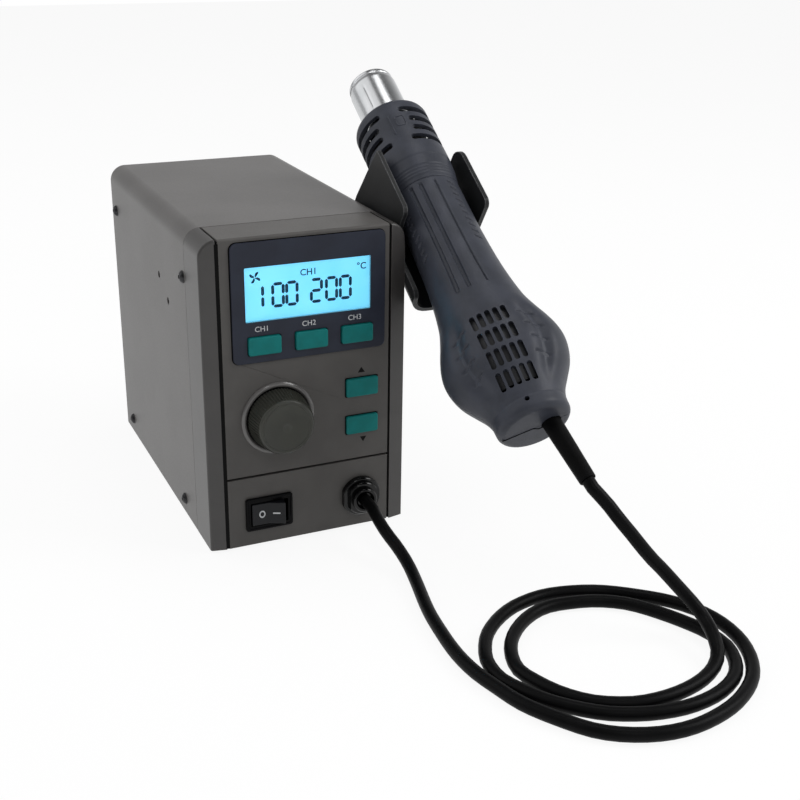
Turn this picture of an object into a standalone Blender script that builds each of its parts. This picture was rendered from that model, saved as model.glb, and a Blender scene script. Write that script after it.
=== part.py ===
"""Hot air rework station: a case with display, buttons, knob and switch, and a hot air
handle lying in the holder on the case's right side. Sizes are in millimetres and become
metres when a mesh is made. X is right, Y is back and Z is up."""

import math

import bmesh
import bpy
from mathutils import Matrix, Vector

MM = 0.001
GAP = 0.3

# Case
HALF_WIDTH = 49.0
FRONT = -85.0
BACK = 85.0
BASE = 1.2
TOP = 151.0
SHEET = 1.2
CORNER = 8.0
SEAM = FRONT + 24.0
COVER_IN = HALF_WIDTH - SHEET
TRAY_SIDE = COVER_IN - GAP
TRAY_TOP = BASE + SHEET
TRAY_FLANGE = 14.0
REAR_PANEL = BACK - 2.8
FOOT_INSET = 16.0
FOOT_STEM = 2.0
FOOT_SPOTS = [
    (turn * (HALF_WIDTH - FOOT_INSET), y) for y in (FRONT + 27, BACK - 27) for turn in (-1, 1)
]
SCREW_HOLE = 1.7
FRAME_SCREW = (SEAM + 4.1, TOP - 23.0)
REAR_SCREW = (BACK - 9.4, TOP - 22.5)
TRAY_SCREWS = [REAR_SCREW, (SEAM + 20.9, BASE + 7.8), (BACK - 16.4, BASE + 8.3)]
SIDE_SCREWS = [FRAME_SCREW] + TRAY_SCREWS
HOLDER_HOLES = [(FRONT + 72.5, TOP - 34.0), (FRONT + 57.4, TOP - 43.0)]

# Front
STRIP = 8.5
GROOVE = 1.1
PANEL_HALF = HALF_WIDTH - STRIP
PANEL_THICK = 2.5
PANEL_BACK = FRONT + PANEL_THICK
FRAME_WALL = 2.6
FRAME_FRONT = PANEL_BACK + GAP
FRAME_BACK = FRAME_FRONT + 2.0
SLOPE_DEPTH = 1.5
DIVIDER = (BASE + 35.1, BASE + 36.1)
BEZEL = (-PANEL_HALF + 5.5, PANEL_HALF - 2.5, TOP - 57.8, TOP - 2.1)
BEZEL_FRONT = FRONT - 1.2
WINDOW = (BEZEL[0] + 5.8, BEZEL[1] - 7.3, BEZEL[2] + 19.2, BEZEL[3] - 11.4)

# Controls. The three channel buttons share the bezel's width
BUTTON_MARGIN = 6.45
BUTTON_SPACE = 6.95
CHANNEL_WIDTH = (BEZEL[1] - BEZEL[0] - 2 * BUTTON_MARGIN - 2 * BUTTON_SPACE) / 3
CHANNEL_SIZE = (CHANNEL_WIDTH, 8.4)
CHANNEL_HEIGHT = BEZEL[2] + 8.05
CHANNEL_BUTTONS = [
    BEZEL[0] + BUTTON_MARGIN + CHANNEL_WIDTH / 2 + index * (CHANNEL_WIDTH + BUTTON_SPACE)
    for index in range(3)
]
STEP_SIZE = (16.0, 9.0)
STEP_X = PANEL_HALF - 13.65
STEP_PITCH = 19.0
CONTROL_HEIGHT = (BEZEL[2] + DIVIDER[1]) / 2 - 0.7
STEP_BUTTONS = {
    "up_button": (STEP_X, CONTROL_HEIGHT + STEP_PITCH / 2),
    "down_button": (STEP_X, CONTROL_HEIGHT - STEP_PITCH / 2),
}
BUTTON_PROUD = 1.5
LIP_RADIUS = 17.5
KNOB = (LIP_RADIUS - 0.8 * PANEL_HALF, CONTROL_HEIGHT)
KNOB_RADIUS = 14.75
KNOB_TIP = 12.9
SHAFT_RADIUS = 3.0
BUSHING_RADIUS = 4.5
BOARD_THICK = 1.6
BOARD_FRONT = PANEL_BACK + 7.9
BOARD_HALF = HALF_WIDTH - 5.75
SWITCH = (-PANEL_HALF + 19.95, BASE + 16.2)
SWITCH_BEZEL = (23.1, 16.8)
SWITCH_BODY = (20.3, 14.2)
ROCKER_HALF = 7.9
ROCKER_HEIGHT = 11.0
ROCKER_TILT = 12.0
ROCKER_PIVOT = FRONT + 1.5
GLAND = (PANEL_HALF - 14.5, BASE + 16.2)
GLAND_THREAD = 7.9
GLAND_LENGTH = 8.0

# Power, each piece placed from the tray and the rear panel
CORE_HALF = 17.0
TRANSFORMER = (HALF_WIDTH - 24.0, FRONT + 105.0)
MAIN_BOARD = (-HALF_WIDTH + 7.0, TRANSFORMER[0] - CORE_HALF - 10, FRONT + 45.0, BACK - 27.0)
MAIN_BOARD_SEAT = BASE + 8.8
BOARD_TOP = MAIN_BOARD_SEAT + GAP + BOARD_THICK
INLET = (-HALF_WIDTH + 31.0, BASE + 30.8)
INLET_BODY = (27.4, 32.0)

# Holder and handle. The handle's axis rises to the back, and its origin hangs on the
# case's top front edge. Places along it run from the cord end (minus) to the nozzle
HOLDER_SHEET = 2.2
ARM_GAP = 1.2
GUARD_RADIUS = 18.8
PITCH = math.radians(33.33)
ROLL = math.radians(-26.0)
ARM_LEFT = HALF_WIDTH + GAP + HOLDER_SHEET
HANDLE_X = ARM_LEFT + ARM_GAP + GUARD_RADIUS
ARM_RIGHT = HANDLE_X + GUARD_RADIUS + ARM_GAP
HANDLE_SPOT = (FRONT - 2.86, TOP - 17.39)
CRADLE_FLOOR = -GUARD_RADIUS - GAP
ARM_TOP = 15.1
ARM_ENDS = (17.0, 56.0)
FLOOR_START = -14.0
TUBE_RADIUS = 12.1
TUBE_WALL = 0.8
TUBE_END = 116.6
GUARD_END = 87.0
GUARD_STEP = 48.5
GUARD_START = 35.6
SHELL_END = -98.7
SHELL_WALL = 2.2
SHELL_SCREWS = ((28.0, 15.0), (-30.0, 17.4))
SCREW_SEAT = 12.0
BLOWER = -62.0
BLOWER_RADIUS = 21.2
BLOWER_BACK = 9.2
BOARD_DEPTH = 3.0
BOARD_ENDS = (-23.0, 21.0)

# Handle shell: place along the axis, half width, half depth
SECTIONS = [
    (35.2, 15.6, 15.6),
    (34.0, 17.0, 17.0),
    (3.0, 17.2, 17.2),
    (-21.6, 18.7, 18.1),
    (-31.5, 20.0, 19.0),
    (-38.4, 21.3, 19.8),
    (-46.0, 23.8, 21.0),
    (-53.0, 26.5, 22.0),
    (-58.0, 28.0, 22.5),
    (-63.0, 28.7, 22.6),
    (-69.0, 28.1, 22.3),
    (-75.0, 26.1, 21.3),
    (-81.8, 21.9, 19.3),
    (-86.0, 19.2, 18.2),
    (-90.0, 17.6, 17.4),
    (-97.2, 17.0, 17.0),
    (SHELL_END, 15.4, 15.4),
]

# Boot: its root on the shell's end face, its slant sideways and its length
BOOT_ROOT = (7.0, 1.0, SHELL_END)
BOOT_SLANT = math.radians(5.5)
BOOT_LENGTH = 31.4
BOOT_RADIUS = 4.3

# Cord: the route's points from the gland to the boot
CORD_RADIUS = 2.9
CORD_STEP = 13.0
CORD_RISE_START = [
    (26, -96.5, 17.4), (26, -101, 17), (25.5, -108, 15.3), (25.8, -117.3, 12.5),
    (27.7, -126.9, 8.5), (28.2, -137, 5.2), (26.4, -149.4, 3.4),
]
CORD_FLOOR = [
    (21.1, -173), (18.6, -190.7), (17.3, -207.1), (18.1, -221.3), (20.9, -233.6),
    (25.2, -248.1), (33, -261.7), (42.1, -273.5), (53.8, -281.1), (67.8, -285.3),
    (82.8, -285.2), (100.1, -280.5), (115.3, -271.3), (124.7, -260.3), (130.3, -247.7),
    (132, -235.2), (130.2, -223.2), (124.7, -212), (115.2, -201.5), (97.2, -188.3),
    (76.5, -182.3), (59.7, -184.2), (47, -190.2), (36.3, -199.2), (29.9, -208.6),
    (25.9, -218.6), (25.4, -230.4), (29.7, -241), (36.8, -252.4), (48.5, -263.7),
    (59, -269.6), (70.9, -273.4), (85.2, -274.7), (100.9, -271.6), (114.2, -263.4),
    (122, -249.8), (122.2, -237.7), (119.2, -228), (112.3, -214.6), (104.1, -203.2),
    (94.2, -196.2), (83.6, -192.6), (69.7, -191.1), (57.2, -195.5), (46, -204.2),
    (38.6, -214.7), (34.9, -227.1), (37.3, -237.5), (42.2, -248), (49.3, -256.6),
    (57.3, -261.8), (67.5, -265.5), (81.2, -266.2), (95.1, -263.6),
]
CORD_RISE_END = [
    (106, -258.8, 3.4), (113, -253.1, 5), (115.1, -248.7, 7.5), (116.8, -243.6, 9.3),
    (118.1, -237.6, 10.8), (117.8, -233.7, 13), (116.2, -229.8, 16), (113.2, -227, 20),
    (109.7, -224, 24.5), (105.7, -221.8, 29.5), (101.3, -219.5, 34.5), (96.7, -217.3, 40.5),
    (93.1, -213.7, 46), (89.5, -210.9, 51), (86.3, -206.3, 56.5),
]

FACE_FRONT = Matrix.Rotation(math.pi / 2, 4, "X")
FACE_SIDE = Matrix(((0, 0, 1, 0), (1, 0, 0, 0), (0, 1, 0, 0), (0, 0, 0, 1)))


# Scene
def clear_scene():
    for obj in list(bpy.data.objects):
        bpy.data.objects.remove(obj, do_unlink=True)


def new_group(name):
    group = bpy.data.collections.new(name)
    bpy.context.scene.collection.children.link(group)
    return group


def new_frame(name, parent=None, matrix=None):
    frame = bpy.data.objects.new(name, None)
    STATION.objects.link(frame)
    frame.parent = parent
    if matrix is not None:
        frame.matrix_basis = matrix
    return frame


def moved(x, y, z):
    return Matrix.Translation(Vector((x, y, z)) * MM)


def place(name, data, frame, matrix=None, tool=False):
    obj = bpy.data.objects.new(name, data)
    obj.parent = frame
    if matrix is not None:
        obj.matrix_basis = matrix
    if tool:
        TOOLS.objects.link(obj)
        obj.hide_render = True
        obj.display_type = "WIRE"
    else:
        STATION.objects.link(obj)
    return obj


def paint(obj, colour, metallic, roughness):
    material = bpy.data.materials.new(obj.name + "_finish")
    material.use_nodes = True
    shader = material.node_tree.nodes["Principled BSDF"]
    value = int(colour, 16)
    channels = []
    for shift in (16, 8, 0):
        level = (value >> shift & 255) / 255
        channels.append(level / 12.92 if level <= 0.04045 else ((level + 0.055) / 1.055) ** 2.4)
    shader.inputs["Base Color"].default_value = (*channels, 1)
    shader.inputs["Metallic"].default_value = metallic
    shader.inputs["Roughness"].default_value = roughness
    material.diffuse_color = (*channels, 1)
    obj.data.materials.clear()
    obj.data.materials.append(material)


# Shapes
def finished_mesh(bm, name):
    bmesh.ops.recalc_face_normals(bm, faces=bm.faces)
    mesh = bpy.data.meshes.new(name)
    bm.to_mesh(mesh)
    bm.free()
    return mesh


def box_mesh(name, boxes):
    """Separate boxes, each given by its low and its high corner."""
    bm = bmesh.new()
    for low, high in boxes:
        low = Vector(low) * MM
        high = Vector(high) * MM
        size = Matrix.Diagonal((*(high - low), 1))
        bmesh.ops.create_cube(bm, size=1, matrix=Matrix.Translation((low + high) / 2) @ size)
    return finished_mesh(bm, name)


def rod_mesh(name, rods, segments=16):
    """Separate round rods, each given by its start, its end and its radius."""
    bm = bmesh.new()
    for start, end, radius in rods:
        start = Vector(start) * MM
        end = Vector(end) * MM
        along = end - start
        turn = along.to_track_quat("Z", "Y").to_matrix().to_4x4()
        bmesh.ops.create_cone(
            bm,
            cap_ends=True,
            segments=segments,
            radius1=radius * MM,
            radius2=radius * MM,
            depth=along.length,
            matrix=Matrix.Translation((start + end) / 2) @ turn,
        )
    return finished_mesh(bm, name)


def turned(name, profile, frame, matrix=None, steps=32, tool=False):
    """A profile of (radius, height) turned round Z. It is a ring when it stays off the axis."""
    ring = profile[0][0] > 0
    area = 0.0
    for (r1, h1), (r2, h2) in zip(profile, profile[1:] + profile[:1]):
        area += r1 * h2 - r2 * h1
    points = profile if area < 0 else profile[::-1]
    bm = bmesh.new()
    verts = [bm.verts.new((radius * MM, 0, height * MM)) for radius, height in points]
    for first, second in zip(verts, verts[1:]):
        bm.edges.new((first, second))
    if ring:
        bm.edges.new((verts[-1], verts[0]))
    mesh = bpy.data.meshes.new(name)
    bm.to_mesh(mesh)
    bm.free()
    obj = place(name, mesh, frame, matrix, tool)
    screw = obj.modifiers.new("Turn", "SCREW")
    screw.steps = steps
    screw.render_steps = steps
    screw.use_merge_vertices = True
    screw.merge_threshold = 0.00001
    return obj


def outline_mesh(name, corners, depth):
    """A flat outline with rounded corners (x, y, radius), given the depth along Z."""
    points = []
    count = len(corners)
    for index, (x, y, radius) in enumerate(corners):
        here = Vector((x, y))
        before = (Vector(corners[index - 1][:2]) - here).normalized()
        after = (Vector(corners[(index + 1) % count][:2]) - here).normalized()
        if radius == 0:
            points.append(here)
            continue
        half = before.angle(after) / 2
        centre = here + (before + after).normalized() * radius / math.sin(half)
        start = here + before * radius / math.tan(half) - centre
        sweep = math.pi - 2 * half
        side = 1 if before.cross(after) < 0 else -1
        steps = 6 if radius > 4 else 3
        for step in range(steps + 1):
            angle = side * sweep * step / steps
            points.append(centre + Matrix.Rotation(angle, 2) @ start)
    curve = bpy.data.curves.new(name, "CURVE")
    curve.dimensions = "2D"
    curve.fill_mode = "BOTH"
    curve.extrude = depth / 2 * MM
    spline = curve.splines.new("POLY")
    spline.points.add(len(points) - 1)
    for point, spot in zip(spline.points, points):
        point.co = (spot.x * MM, spot.y * MM, 0, 1)
    spline.use_cyclic_u = True
    helper = bpy.data.objects.new(name + "_outline", curve)
    TOOLS.objects.link(helper)
    bpy.context.view_layer.update()
    graph = bpy.context.evaluated_depsgraph_get()
    flat = bpy.data.meshes.new_from_object(helper.evaluated_get(graph))
    bpy.data.objects.remove(helper, do_unlink=True)
    bm = bmesh.new()
    bm.from_mesh(flat)
    bmesh.ops.remove_doubles(bm, verts=bm.verts, dist=0.000001)
    bpy.data.meshes.remove(flat)
    return finished_mesh(bm, name)


def rectangle(x1, x2, y1, y2, radius=0.0):
    return [(x1, y1, radius), (x2, y1, radius), (x2, y2, radius), (x1, y2, radius)]


def front_slab(name, corners, front, back, tool=False):
    """An outline in X and Z, between two places along Y."""
    mesh = outline_mesh(name, corners, back - front)
    return place(name, mesh, ROOT, moved(0, (front + back) / 2, 0) @ FACE_FRONT, tool)


def combine(target, piece, operation):
    modifier = target.modifiers.new(operation.title(), "BOOLEAN")
    modifier.operation = operation
    modifier.solver = "EXACT"
    modifier.object = piece


def cut_boxes(target, boxes, frame=None, name="cut"):
    label = target.name + "_" + name
    piece = place(label, box_mesh(label, boxes), frame or target.parent, tool=True)
    combine(target, piece, "DIFFERENCE")


def cut_rods(target, rods, frame=None, name="bores", segments=20):
    label = target.name + "_" + name
    piece = place(label, rod_mesh(label, rods, segments), frame or target.parent, tool=True)
    combine(target, piece, "DIFFERENCE")


def add_boxes(target, boxes, name="block"):
    for index, item in enumerate(boxes, 1):
        label = f"{target.name}_{name}_{index}"
        piece = place(label, box_mesh(label, [item]), target.parent, tool=True)
        combine(target, piece, "UNION")


def add_rods(target, rods, name="boss", segments=12):
    for index, item in enumerate(rods, 1):
        label = f"{target.name}_{name}_{index}"
        piece = place(label, rod_mesh(label, [item], segments), target.parent, tool=True)
        combine(target, piece, "UNION")


def front_rod(spot, front, back, radius):
    return ((spot[0], front, spot[1]), (spot[0], back, spot[1]), radius)


def side_rods(spots, side, inner, outer, radius):
    return [((side * inner, y, z), (side * outer, y, z), radius) for y, z in spots]


# Case
def build_tray():
    side = TRAY_SIDE
    inner = side - SHEET
    flange_top = BASE + TRAY_FLANGE
    tray = place(
        "chassis_tray",
        box_mesh("chassis_tray", [((-side, SEAM + GAP, BASE), (side, REAR_PANEL + SHEET, TRAY_TOP))]),
        ROOT,
    )
    paint(tray, "8a8c8e", 0.8, 0.4)
    front_half = HALF_WIDTH - FRAME_WALL - GAP
    add_boxes(tray, [
        ((-front_half, FRAME_BACK + GAP, BASE), (front_half, SEAM + 2, TRAY_TOP)),
        ((-side, SEAM + GAP, BASE), (-inner, REAR_PANEL + SHEET, flange_top)),
        ((inner, SEAM + GAP, BASE), (side, REAR_PANEL + SHEET, flange_top)),
    ])
    label = "chassis_tray_rear"
    outline = [(-side, BASE, 0), (side, BASE, 0)]
    outline += [(side, TOP - SHEET - GAP, CORNER - SHEET - GAP)]
    outline += [(-side, TOP - SHEET - GAP, CORNER - SHEET - GAP)]
    rear = front_slab(label, outline, REAR_PANEL, REAR_PANEL + SHEET, tool=True)
    combine(tray, rear, "UNION")
    y, z = REAR_SCREW
    add_boxes(tray, [
        ((-side, y - 6.6, z - 7.5), (-inner, REAR_PANEL + SHEET / 2, z + 7.5)),
        ((inner, y - 6.6, z - 7.5), (side, REAR_PANEL + SHEET / 2, z + 7.5)),
    ], "tab")
    left, right, near, far = MAIN_BOARD
    studs = [(x, y) for x in (left + 4, right - 4) for y in (near + 5, far - 5)]
    rods = [((x, y, BASE + SHEET / 2), (x, y, MAIN_BOARD_SEAT), 3.0) for x, y in studs]
    add_rods(tray, rods, "stud", 8)
    holes = [((x, y, BASE - 3), (x, y, TRAY_TOP + 2), FOOT_STEM + GAP) for x, y in FOOT_SPOTS]
    for turn in (-1, 1):
        holes += side_rods(TRAY_SCREWS, turn, inner - 2, side + 2, SCREW_HOLE)
    cut_rods(tray, holes, name="holes", segments=8)
    x, z = INLET
    half_x = INLET_BODY[0] / 2 + GAP
    half_z = INLET_BODY[1] / 2 + GAP
    opening = ((x - half_x, REAR_PANEL - 2, z - half_z), (x + half_x, BACK + 1, z + half_z))
    cut_boxes(tray, [opening], name="inlet")


def strip_mesh(name, path, near_y, far_y):
    """An open surface: a path in X and Z from left to right, drawn out along Y."""
    bm = bmesh.new()
    near = [bm.verts.new((x * MM, near_y * MM, z * MM)) for x, z in path]
    edges = [bm.edges.new(pair) for pair in zip(near, near[1:])]
    made = bmesh.ops.extrude_edge_only(bm, edges=edges)["geom"]
    far = [item for item in made if isinstance(item, bmesh.types.BMVert)]
    bmesh.ops.translate(bm, verts=far, vec=(0, (far_y - near_y) * MM, 0))
    bm.normal_update()
    left = min(bm.faces, key=lambda face: face.calc_center_median().x)
    if left.normal.x > 0:
        bmesh.ops.reverse_faces(bm, faces=bm.faces)
    mesh = bpy.data.meshes.new(name)
    bm.to_mesh(mesh)
    bm.free()
    return mesh


def build_cover():
    """The sheet's outer face, open below, with its thickness added inwards."""
    path = [(-HALF_WIDTH, BASE)]
    for turn in (-1, 1):
        for step in range(7):
            angle = math.radians(90 * step / 6)
            if turn > 0:
                angle = math.pi / 2 - angle
            x = turn * (HALF_WIDTH - CORNER + CORNER * math.cos(angle))
            path.append((x, TOP - CORNER + CORNER * math.sin(angle)))
    path.append((HALF_WIDTH, BASE))
    cover = place("case_cover", strip_mesh("case_cover", path, SEAM + GAP, BACK), ROOT)
    sheet = cover.modifiers.new("Sheet", "SOLIDIFY")
    sheet.thickness = SHEET * MM
    sheet.offset = -1
    sheet.use_even_offset = True
    holes = []
    for turn in (-1, 1):
        holes += side_rods(SIDE_SCREWS + HOLDER_HOLES, turn, COVER_IN - 3, HALF_WIDTH + 3, SCREW_HOLE)
    cut_rods(cover, holes, name="holes", segments=8)
    paint(cover, "5f5b57", 0.3, 0.45)


def build_front_frame():
    outline = [(-HALF_WIDTH, BASE, 0), (HALF_WIDTH, BASE, 0)]
    outline += [(HALF_WIDTH, TOP, CORNER), (-HALF_WIDTH, TOP, CORNER)]
    frame = front_slab("front_frame", outline, FRONT, SEAM)
    inner = HALF_WIDTH - FRAME_WALL
    shelf_top = TOP - PANEL_THICK - GAP
    cut_boxes(frame, [((-inner, FRAME_BACK, -2), (inner, SEAM + 5, shelf_top - 2.2))], name="hollow")
    recess = PANEL_HALF + GROOVE
    cut_boxes(frame, [((-recess, FRONT - 5, -2), (recess, FRAME_FRONT, TOP + 5))], name="recess")
    cut_boxes(frame, [((-recess, FRONT - 5, shelf_top), (recess, SEAM + 5, TOP + 5))], name="shelf")
    low = (BEZEL[0] - 1.5, FRONT - 1, DIVIDER[1] + 5.7)
    cut_boxes(frame, [(low, (BEZEL[1] + 0.5, FRAME_BACK + 1, TOP - 5))], name="window")
    low = (-PANEL_HALF + 4.5, FRONT - 1, BASE + 2)
    cut_boxes(frame, [(low, (PANEL_HALF - 1.5, FRAME_BACK + 1, DIVIDER[0] - 4.3))], name="lower")
    for turn, label in ((-1, "left"), (1, "right")):
        edge = turn * (PANEL_HALF + GROOVE)
        outer = turn * (HALF_WIDTH + 6)
        rise = SLOPE_DEPTH / (STRIP - GROOVE)
        end = FRONT + rise * (STRIP - GROOVE + 6)
        wedge = [(edge, FRONT, 0), (edge, FRONT - 8, 0), (outer, FRONT - 8, 0), (outer, end, 0)]
        name = "front_frame_slope_" + label
        mesh = outline_mesh(name, wedge, TOP + 20)
        combine(frame, place(name, mesh, ROOT, moved(0, 0, TOP / 2), tool=True), "DIFFERENCE")
    y, z = FRAME_SCREW
    for turn, label in ((-1, "lug_left"), (1, "lug_right")):
        low, high = sorted((turn * (TRAY_SIDE - 3.3), turn * TRAY_SIDE))
        add_boxes(frame, [((low, SEAM - 5, z - 7), (high, y + 6.9, z + 7))], label)
    bosses = [(x, z) for x in (BEZEL[0] - 5.5, BEZEL[1] + 3.5) for z in (DIVIDER[1] + 11.7, TOP - 12)]
    add_rods(frame, [front_rod(spot, FRAME_BACK - 1, BOARD_FRONT - GAP, 1.9) for spot in bosses])
    holes = []
    for turn in (-1, 1):
        holes += side_rods([FRAME_SCREW], turn, TRAY_SIDE - 5, TRAY_SIDE + 2, SCREW_HOLE)
    cut_rods(frame, holes, name="holes", segments=8)
    paint(frame, "4a4643", 0.1, 0.5)


def build_control_panel():
    corners = [
        (FRONT, DIVIDER[1], 0), (PANEL_BACK, DIVIDER[1], 0),
        (PANEL_BACK, TOP - PANEL_THICK, 0), (SEAM - GAP, TOP - PANEL_THICK, 0),
        (SEAM - GAP, TOP, 0), (FRONT, TOP, 1.2),
    ]
    mesh = outline_mesh("control_panel", corners, 2 * PANEL_HALF)
    panel = place("control_panel", mesh, ROOT, FACE_SIDE)
    openings = [((BEZEL[0] + 1, FRONT - 5, BEZEL[2] + 1), (BEZEL[1] - 1, PANEL_BACK + 5, BEZEL[3] - 1))]
    for x, z in STEP_BUTTONS.values():
        half_x = STEP_SIZE[0] / 2 + GAP
        half_z = STEP_SIZE[1] / 2 + GAP
        openings.append(((x - half_x, FRONT - 5, z - half_z), (x + half_x, PANEL_BACK + 5, z + half_z)))
    cut_boxes(panel, openings, ROOT, "openings")
    bore = front_rod(KNOB, FRONT - 5, PANEL_BACK + 5, BUSHING_RADIUS + GAP)
    cut_rods(panel, [bore], ROOT, "bore")
    outer = LIP_RADIUS
    ring = [(outer, -0.6), (outer, 1.0), (outer - 0.6, 1.3), (outer - 1.6, 1.0), (outer - 1.6, -0.6)]
    spot = moved(KNOB[0], FRONT, KNOB[1]) @ FACE_FRONT
    lip = turned("control_panel_lip", ring, ROOT, spot, 32, tool=True)
    combine(panel, lip, "UNION")
    paint(panel, "4a4643", 0.1, 0.5)


def build_lower_panel():
    panel = front_slab(
        "lower_panel", rectangle(-PANEL_HALF, PANEL_HALF, BASE, DIVIDER[0]), FRONT, PANEL_BACK
    )
    x, z = SWITCH
    half_x = SWITCH_BODY[0] / 2 + GAP
    half_z = SWITCH_BODY[1] / 2 + GAP
    low = (x - half_x, FRONT - 5, z - half_z)
    cut_boxes(panel, [(low, (x + half_x, PANEL_BACK + 5, z + half_z))], ROOT)
    cut_rods(panel, [front_rod(GLAND, FRONT - 5, PANEL_BACK + 5, GLAND_THREAD + GAP)], ROOT)
    paint(panel, "4a4643", 0.1, 0.5)


# Display and controls
def build_display():
    bezel = front_slab("display_bezel", rectangle(*BEZEL, 3.0), BEZEL_FRONT, FRONT - GAP)
    plug = (BEZEL[0] + 1.3, BEZEL[1] - 1.3, BEZEL[2] + 1.3, BEZEL[3] - 1.3)
    add_boxes(bezel, [((plug[0], FRONT - GAP - 0.5, plug[2]), (plug[1], PANEL_BACK - GAP, plug[3]))])
    openings = [((WINDOW[0], FRONT - 5, WINDOW[2]), (WINDOW[1], FRONT + 5, WINDOW[3]))]
    half_x = CHANNEL_SIZE[0] / 2 + GAP
    half_z = CHANNEL_SIZE[1] / 2 + GAP
    for x in CHANNEL_BUTTONS:
        low = (x - half_x, FRONT - 5, CHANNEL_HEIGHT - half_z)
        openings.append((low, (x + half_x, FRONT + 5, CHANNEL_HEIGHT + half_z)))
    cut_boxes(bezel, openings, ROOT, "openings")
    paint(bezel, "2f3140", 0.0, 0.35)
    low = (WINDOW[0] + GAP, BEZEL_FRONT + 0.4, WINDOW[2] + GAP)
    high = (WINDOW[1] - GAP, PANEL_BACK - GAP, WINDOW[3] - GAP)
    lens = place("display_lens", box_mesh("display_lens", [(low, high)]), ROOT)
    paint(lens, "7de3ff", 0.0, 0.08)
    low = (WINDOW[0] - 2, PANEL_BACK, WINDOW[2] - 4.4)
    high = (WINDOW[1] + 2, BOARD_FRONT - GAP, WINDOW[3] + 4)
    module = place("lcd_panel", box_mesh("lcd_panel", [(low, high)]), ROOT)
    paint(module, "5ccdf0", 0.0, 0.3)


def build_control_board():
    label = "control_board"
    low = (-BOARD_HALF, BOARD_FRONT, DIVIDER[1] + 7.2)
    high = (BOARD_HALF, BOARD_FRONT + BOARD_THICK, TOP - 7)
    board = place(label, box_mesh(label, [(low, high)]), ROOT)
    spots = [(x, CHANNEL_HEIGHT) for x in CHANNEL_BUTTONS] + list(STEP_BUTTONS.values())
    add_boxes(board, [
        ((x - 3, BOARD_FRONT - 4, z - 3), (x + 3, BOARD_FRONT + 0.5, z + 3)) for x, z in spots
    ], "switch")
    plungers = [front_rod(spot, BOARD_FRONT - 5.3, BOARD_FRONT - 3, 1.7) for spot in spots]
    add_rods(board, plungers, "plunger", 8)
    paint(board, "1d6b3a", 0.0, 0.4)
    x, z = KNOB
    label = "encoder_body"
    low = (x - 6, FRAME_FRONT + 0.8, z - 6)
    body = place(label, box_mesh(label, [(low, (x + 6, BOARD_FRONT - GAP, z + 6))]), ROOT)
    add_rods(body, [front_rod(KNOB, FRONT - 1.6, FRAME_FRONT + 2, BUSHING_RADIUS)], segments=20)
    cut_rods(body, [front_rod(KNOB, FRONT - 3, FRONT + 6, SHAFT_RADIUS + GAP)])
    paint(body, "9a9c9f", 0.9, 0.35)


def build_knob():
    x, z = KNOB
    spot = moved(x, FRONT, z) @ FACE_FRONT
    radius = SHAFT_RADIUS
    profile = [(0, 10), (radius, 9.8), (radius, -5.5), (0, -5.5)]
    shaft = turned("encoder_shaft", profile, ROOT, spot, 16)
    paint(shaft, "a8aaac", 0.9, 0.3)
    rim = KNOB_RADIUS
    inner = KNOB_RADIUS - 1.75
    bore = SHAFT_RADIUS + 0.2
    hub = bore + 2.2
    profile = [
        (0, 12.3), (KNOB_TIP - 0.9, 13), (KNOB_TIP, 12), (rim, 0.5), (inner, 0.5),
        (inner - 1.5, 9.5), (hub, 9.5), (hub, 1.9), (bore, 1.9), (bore, 10.3), (0, 10.3),
    ]
    knob = turned("knob", profile, ROOT, spot, 28)
    paint(knob, "3b3b33", 0.0, 0.55)


def build_button(name, x, z, size, face, catch):
    """A cap in its hole, a wider catch behind it and a short stem, sliding along Y."""
    half_x = size[0] / 2
    half_z = size[1] / 2
    front = face - BUTTON_PROUD - FRONT
    back = catch - FRONT
    cap = outline_mesh(name, rectangle(-half_x, half_x, -half_z, half_z, 1.0), back + 0.4 - front)
    middle = (front + back + 0.4) / 2
    cap.transform(moved(0, middle, 0) @ FACE_FRONT)
    button = place(name, cap, ROOT, moved(x, FRONT, z))
    edge = button.modifiers.new("Edge", "BEVEL")
    edge.width = 0.5 * MM
    edge.segments = 1
    edge.limit_method = "ANGLE"
    edge.angle_limit = math.radians(50)
    label = name + "_catch"
    low = (-half_x - 1, back, -half_z - 1)
    high = (half_x + 1, back + 0.8, half_z + 1)
    catch_piece = place(label, box_mesh(label, [(low, high)]), ROOT, moved(x, FRONT, z), True)
    combine(button, catch_piece, "UNION")
    label = name + "_stem"
    stem = rod_mesh(label, [((0, back + 0.5, 0), (0, back + 1.2, 0), 1.5)], 16)
    combine(button, place(label, stem, ROOT, moved(x, FRONT, z), True), "UNION")
    paint(button, "1f6e66", 0.0, 0.5)


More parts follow.
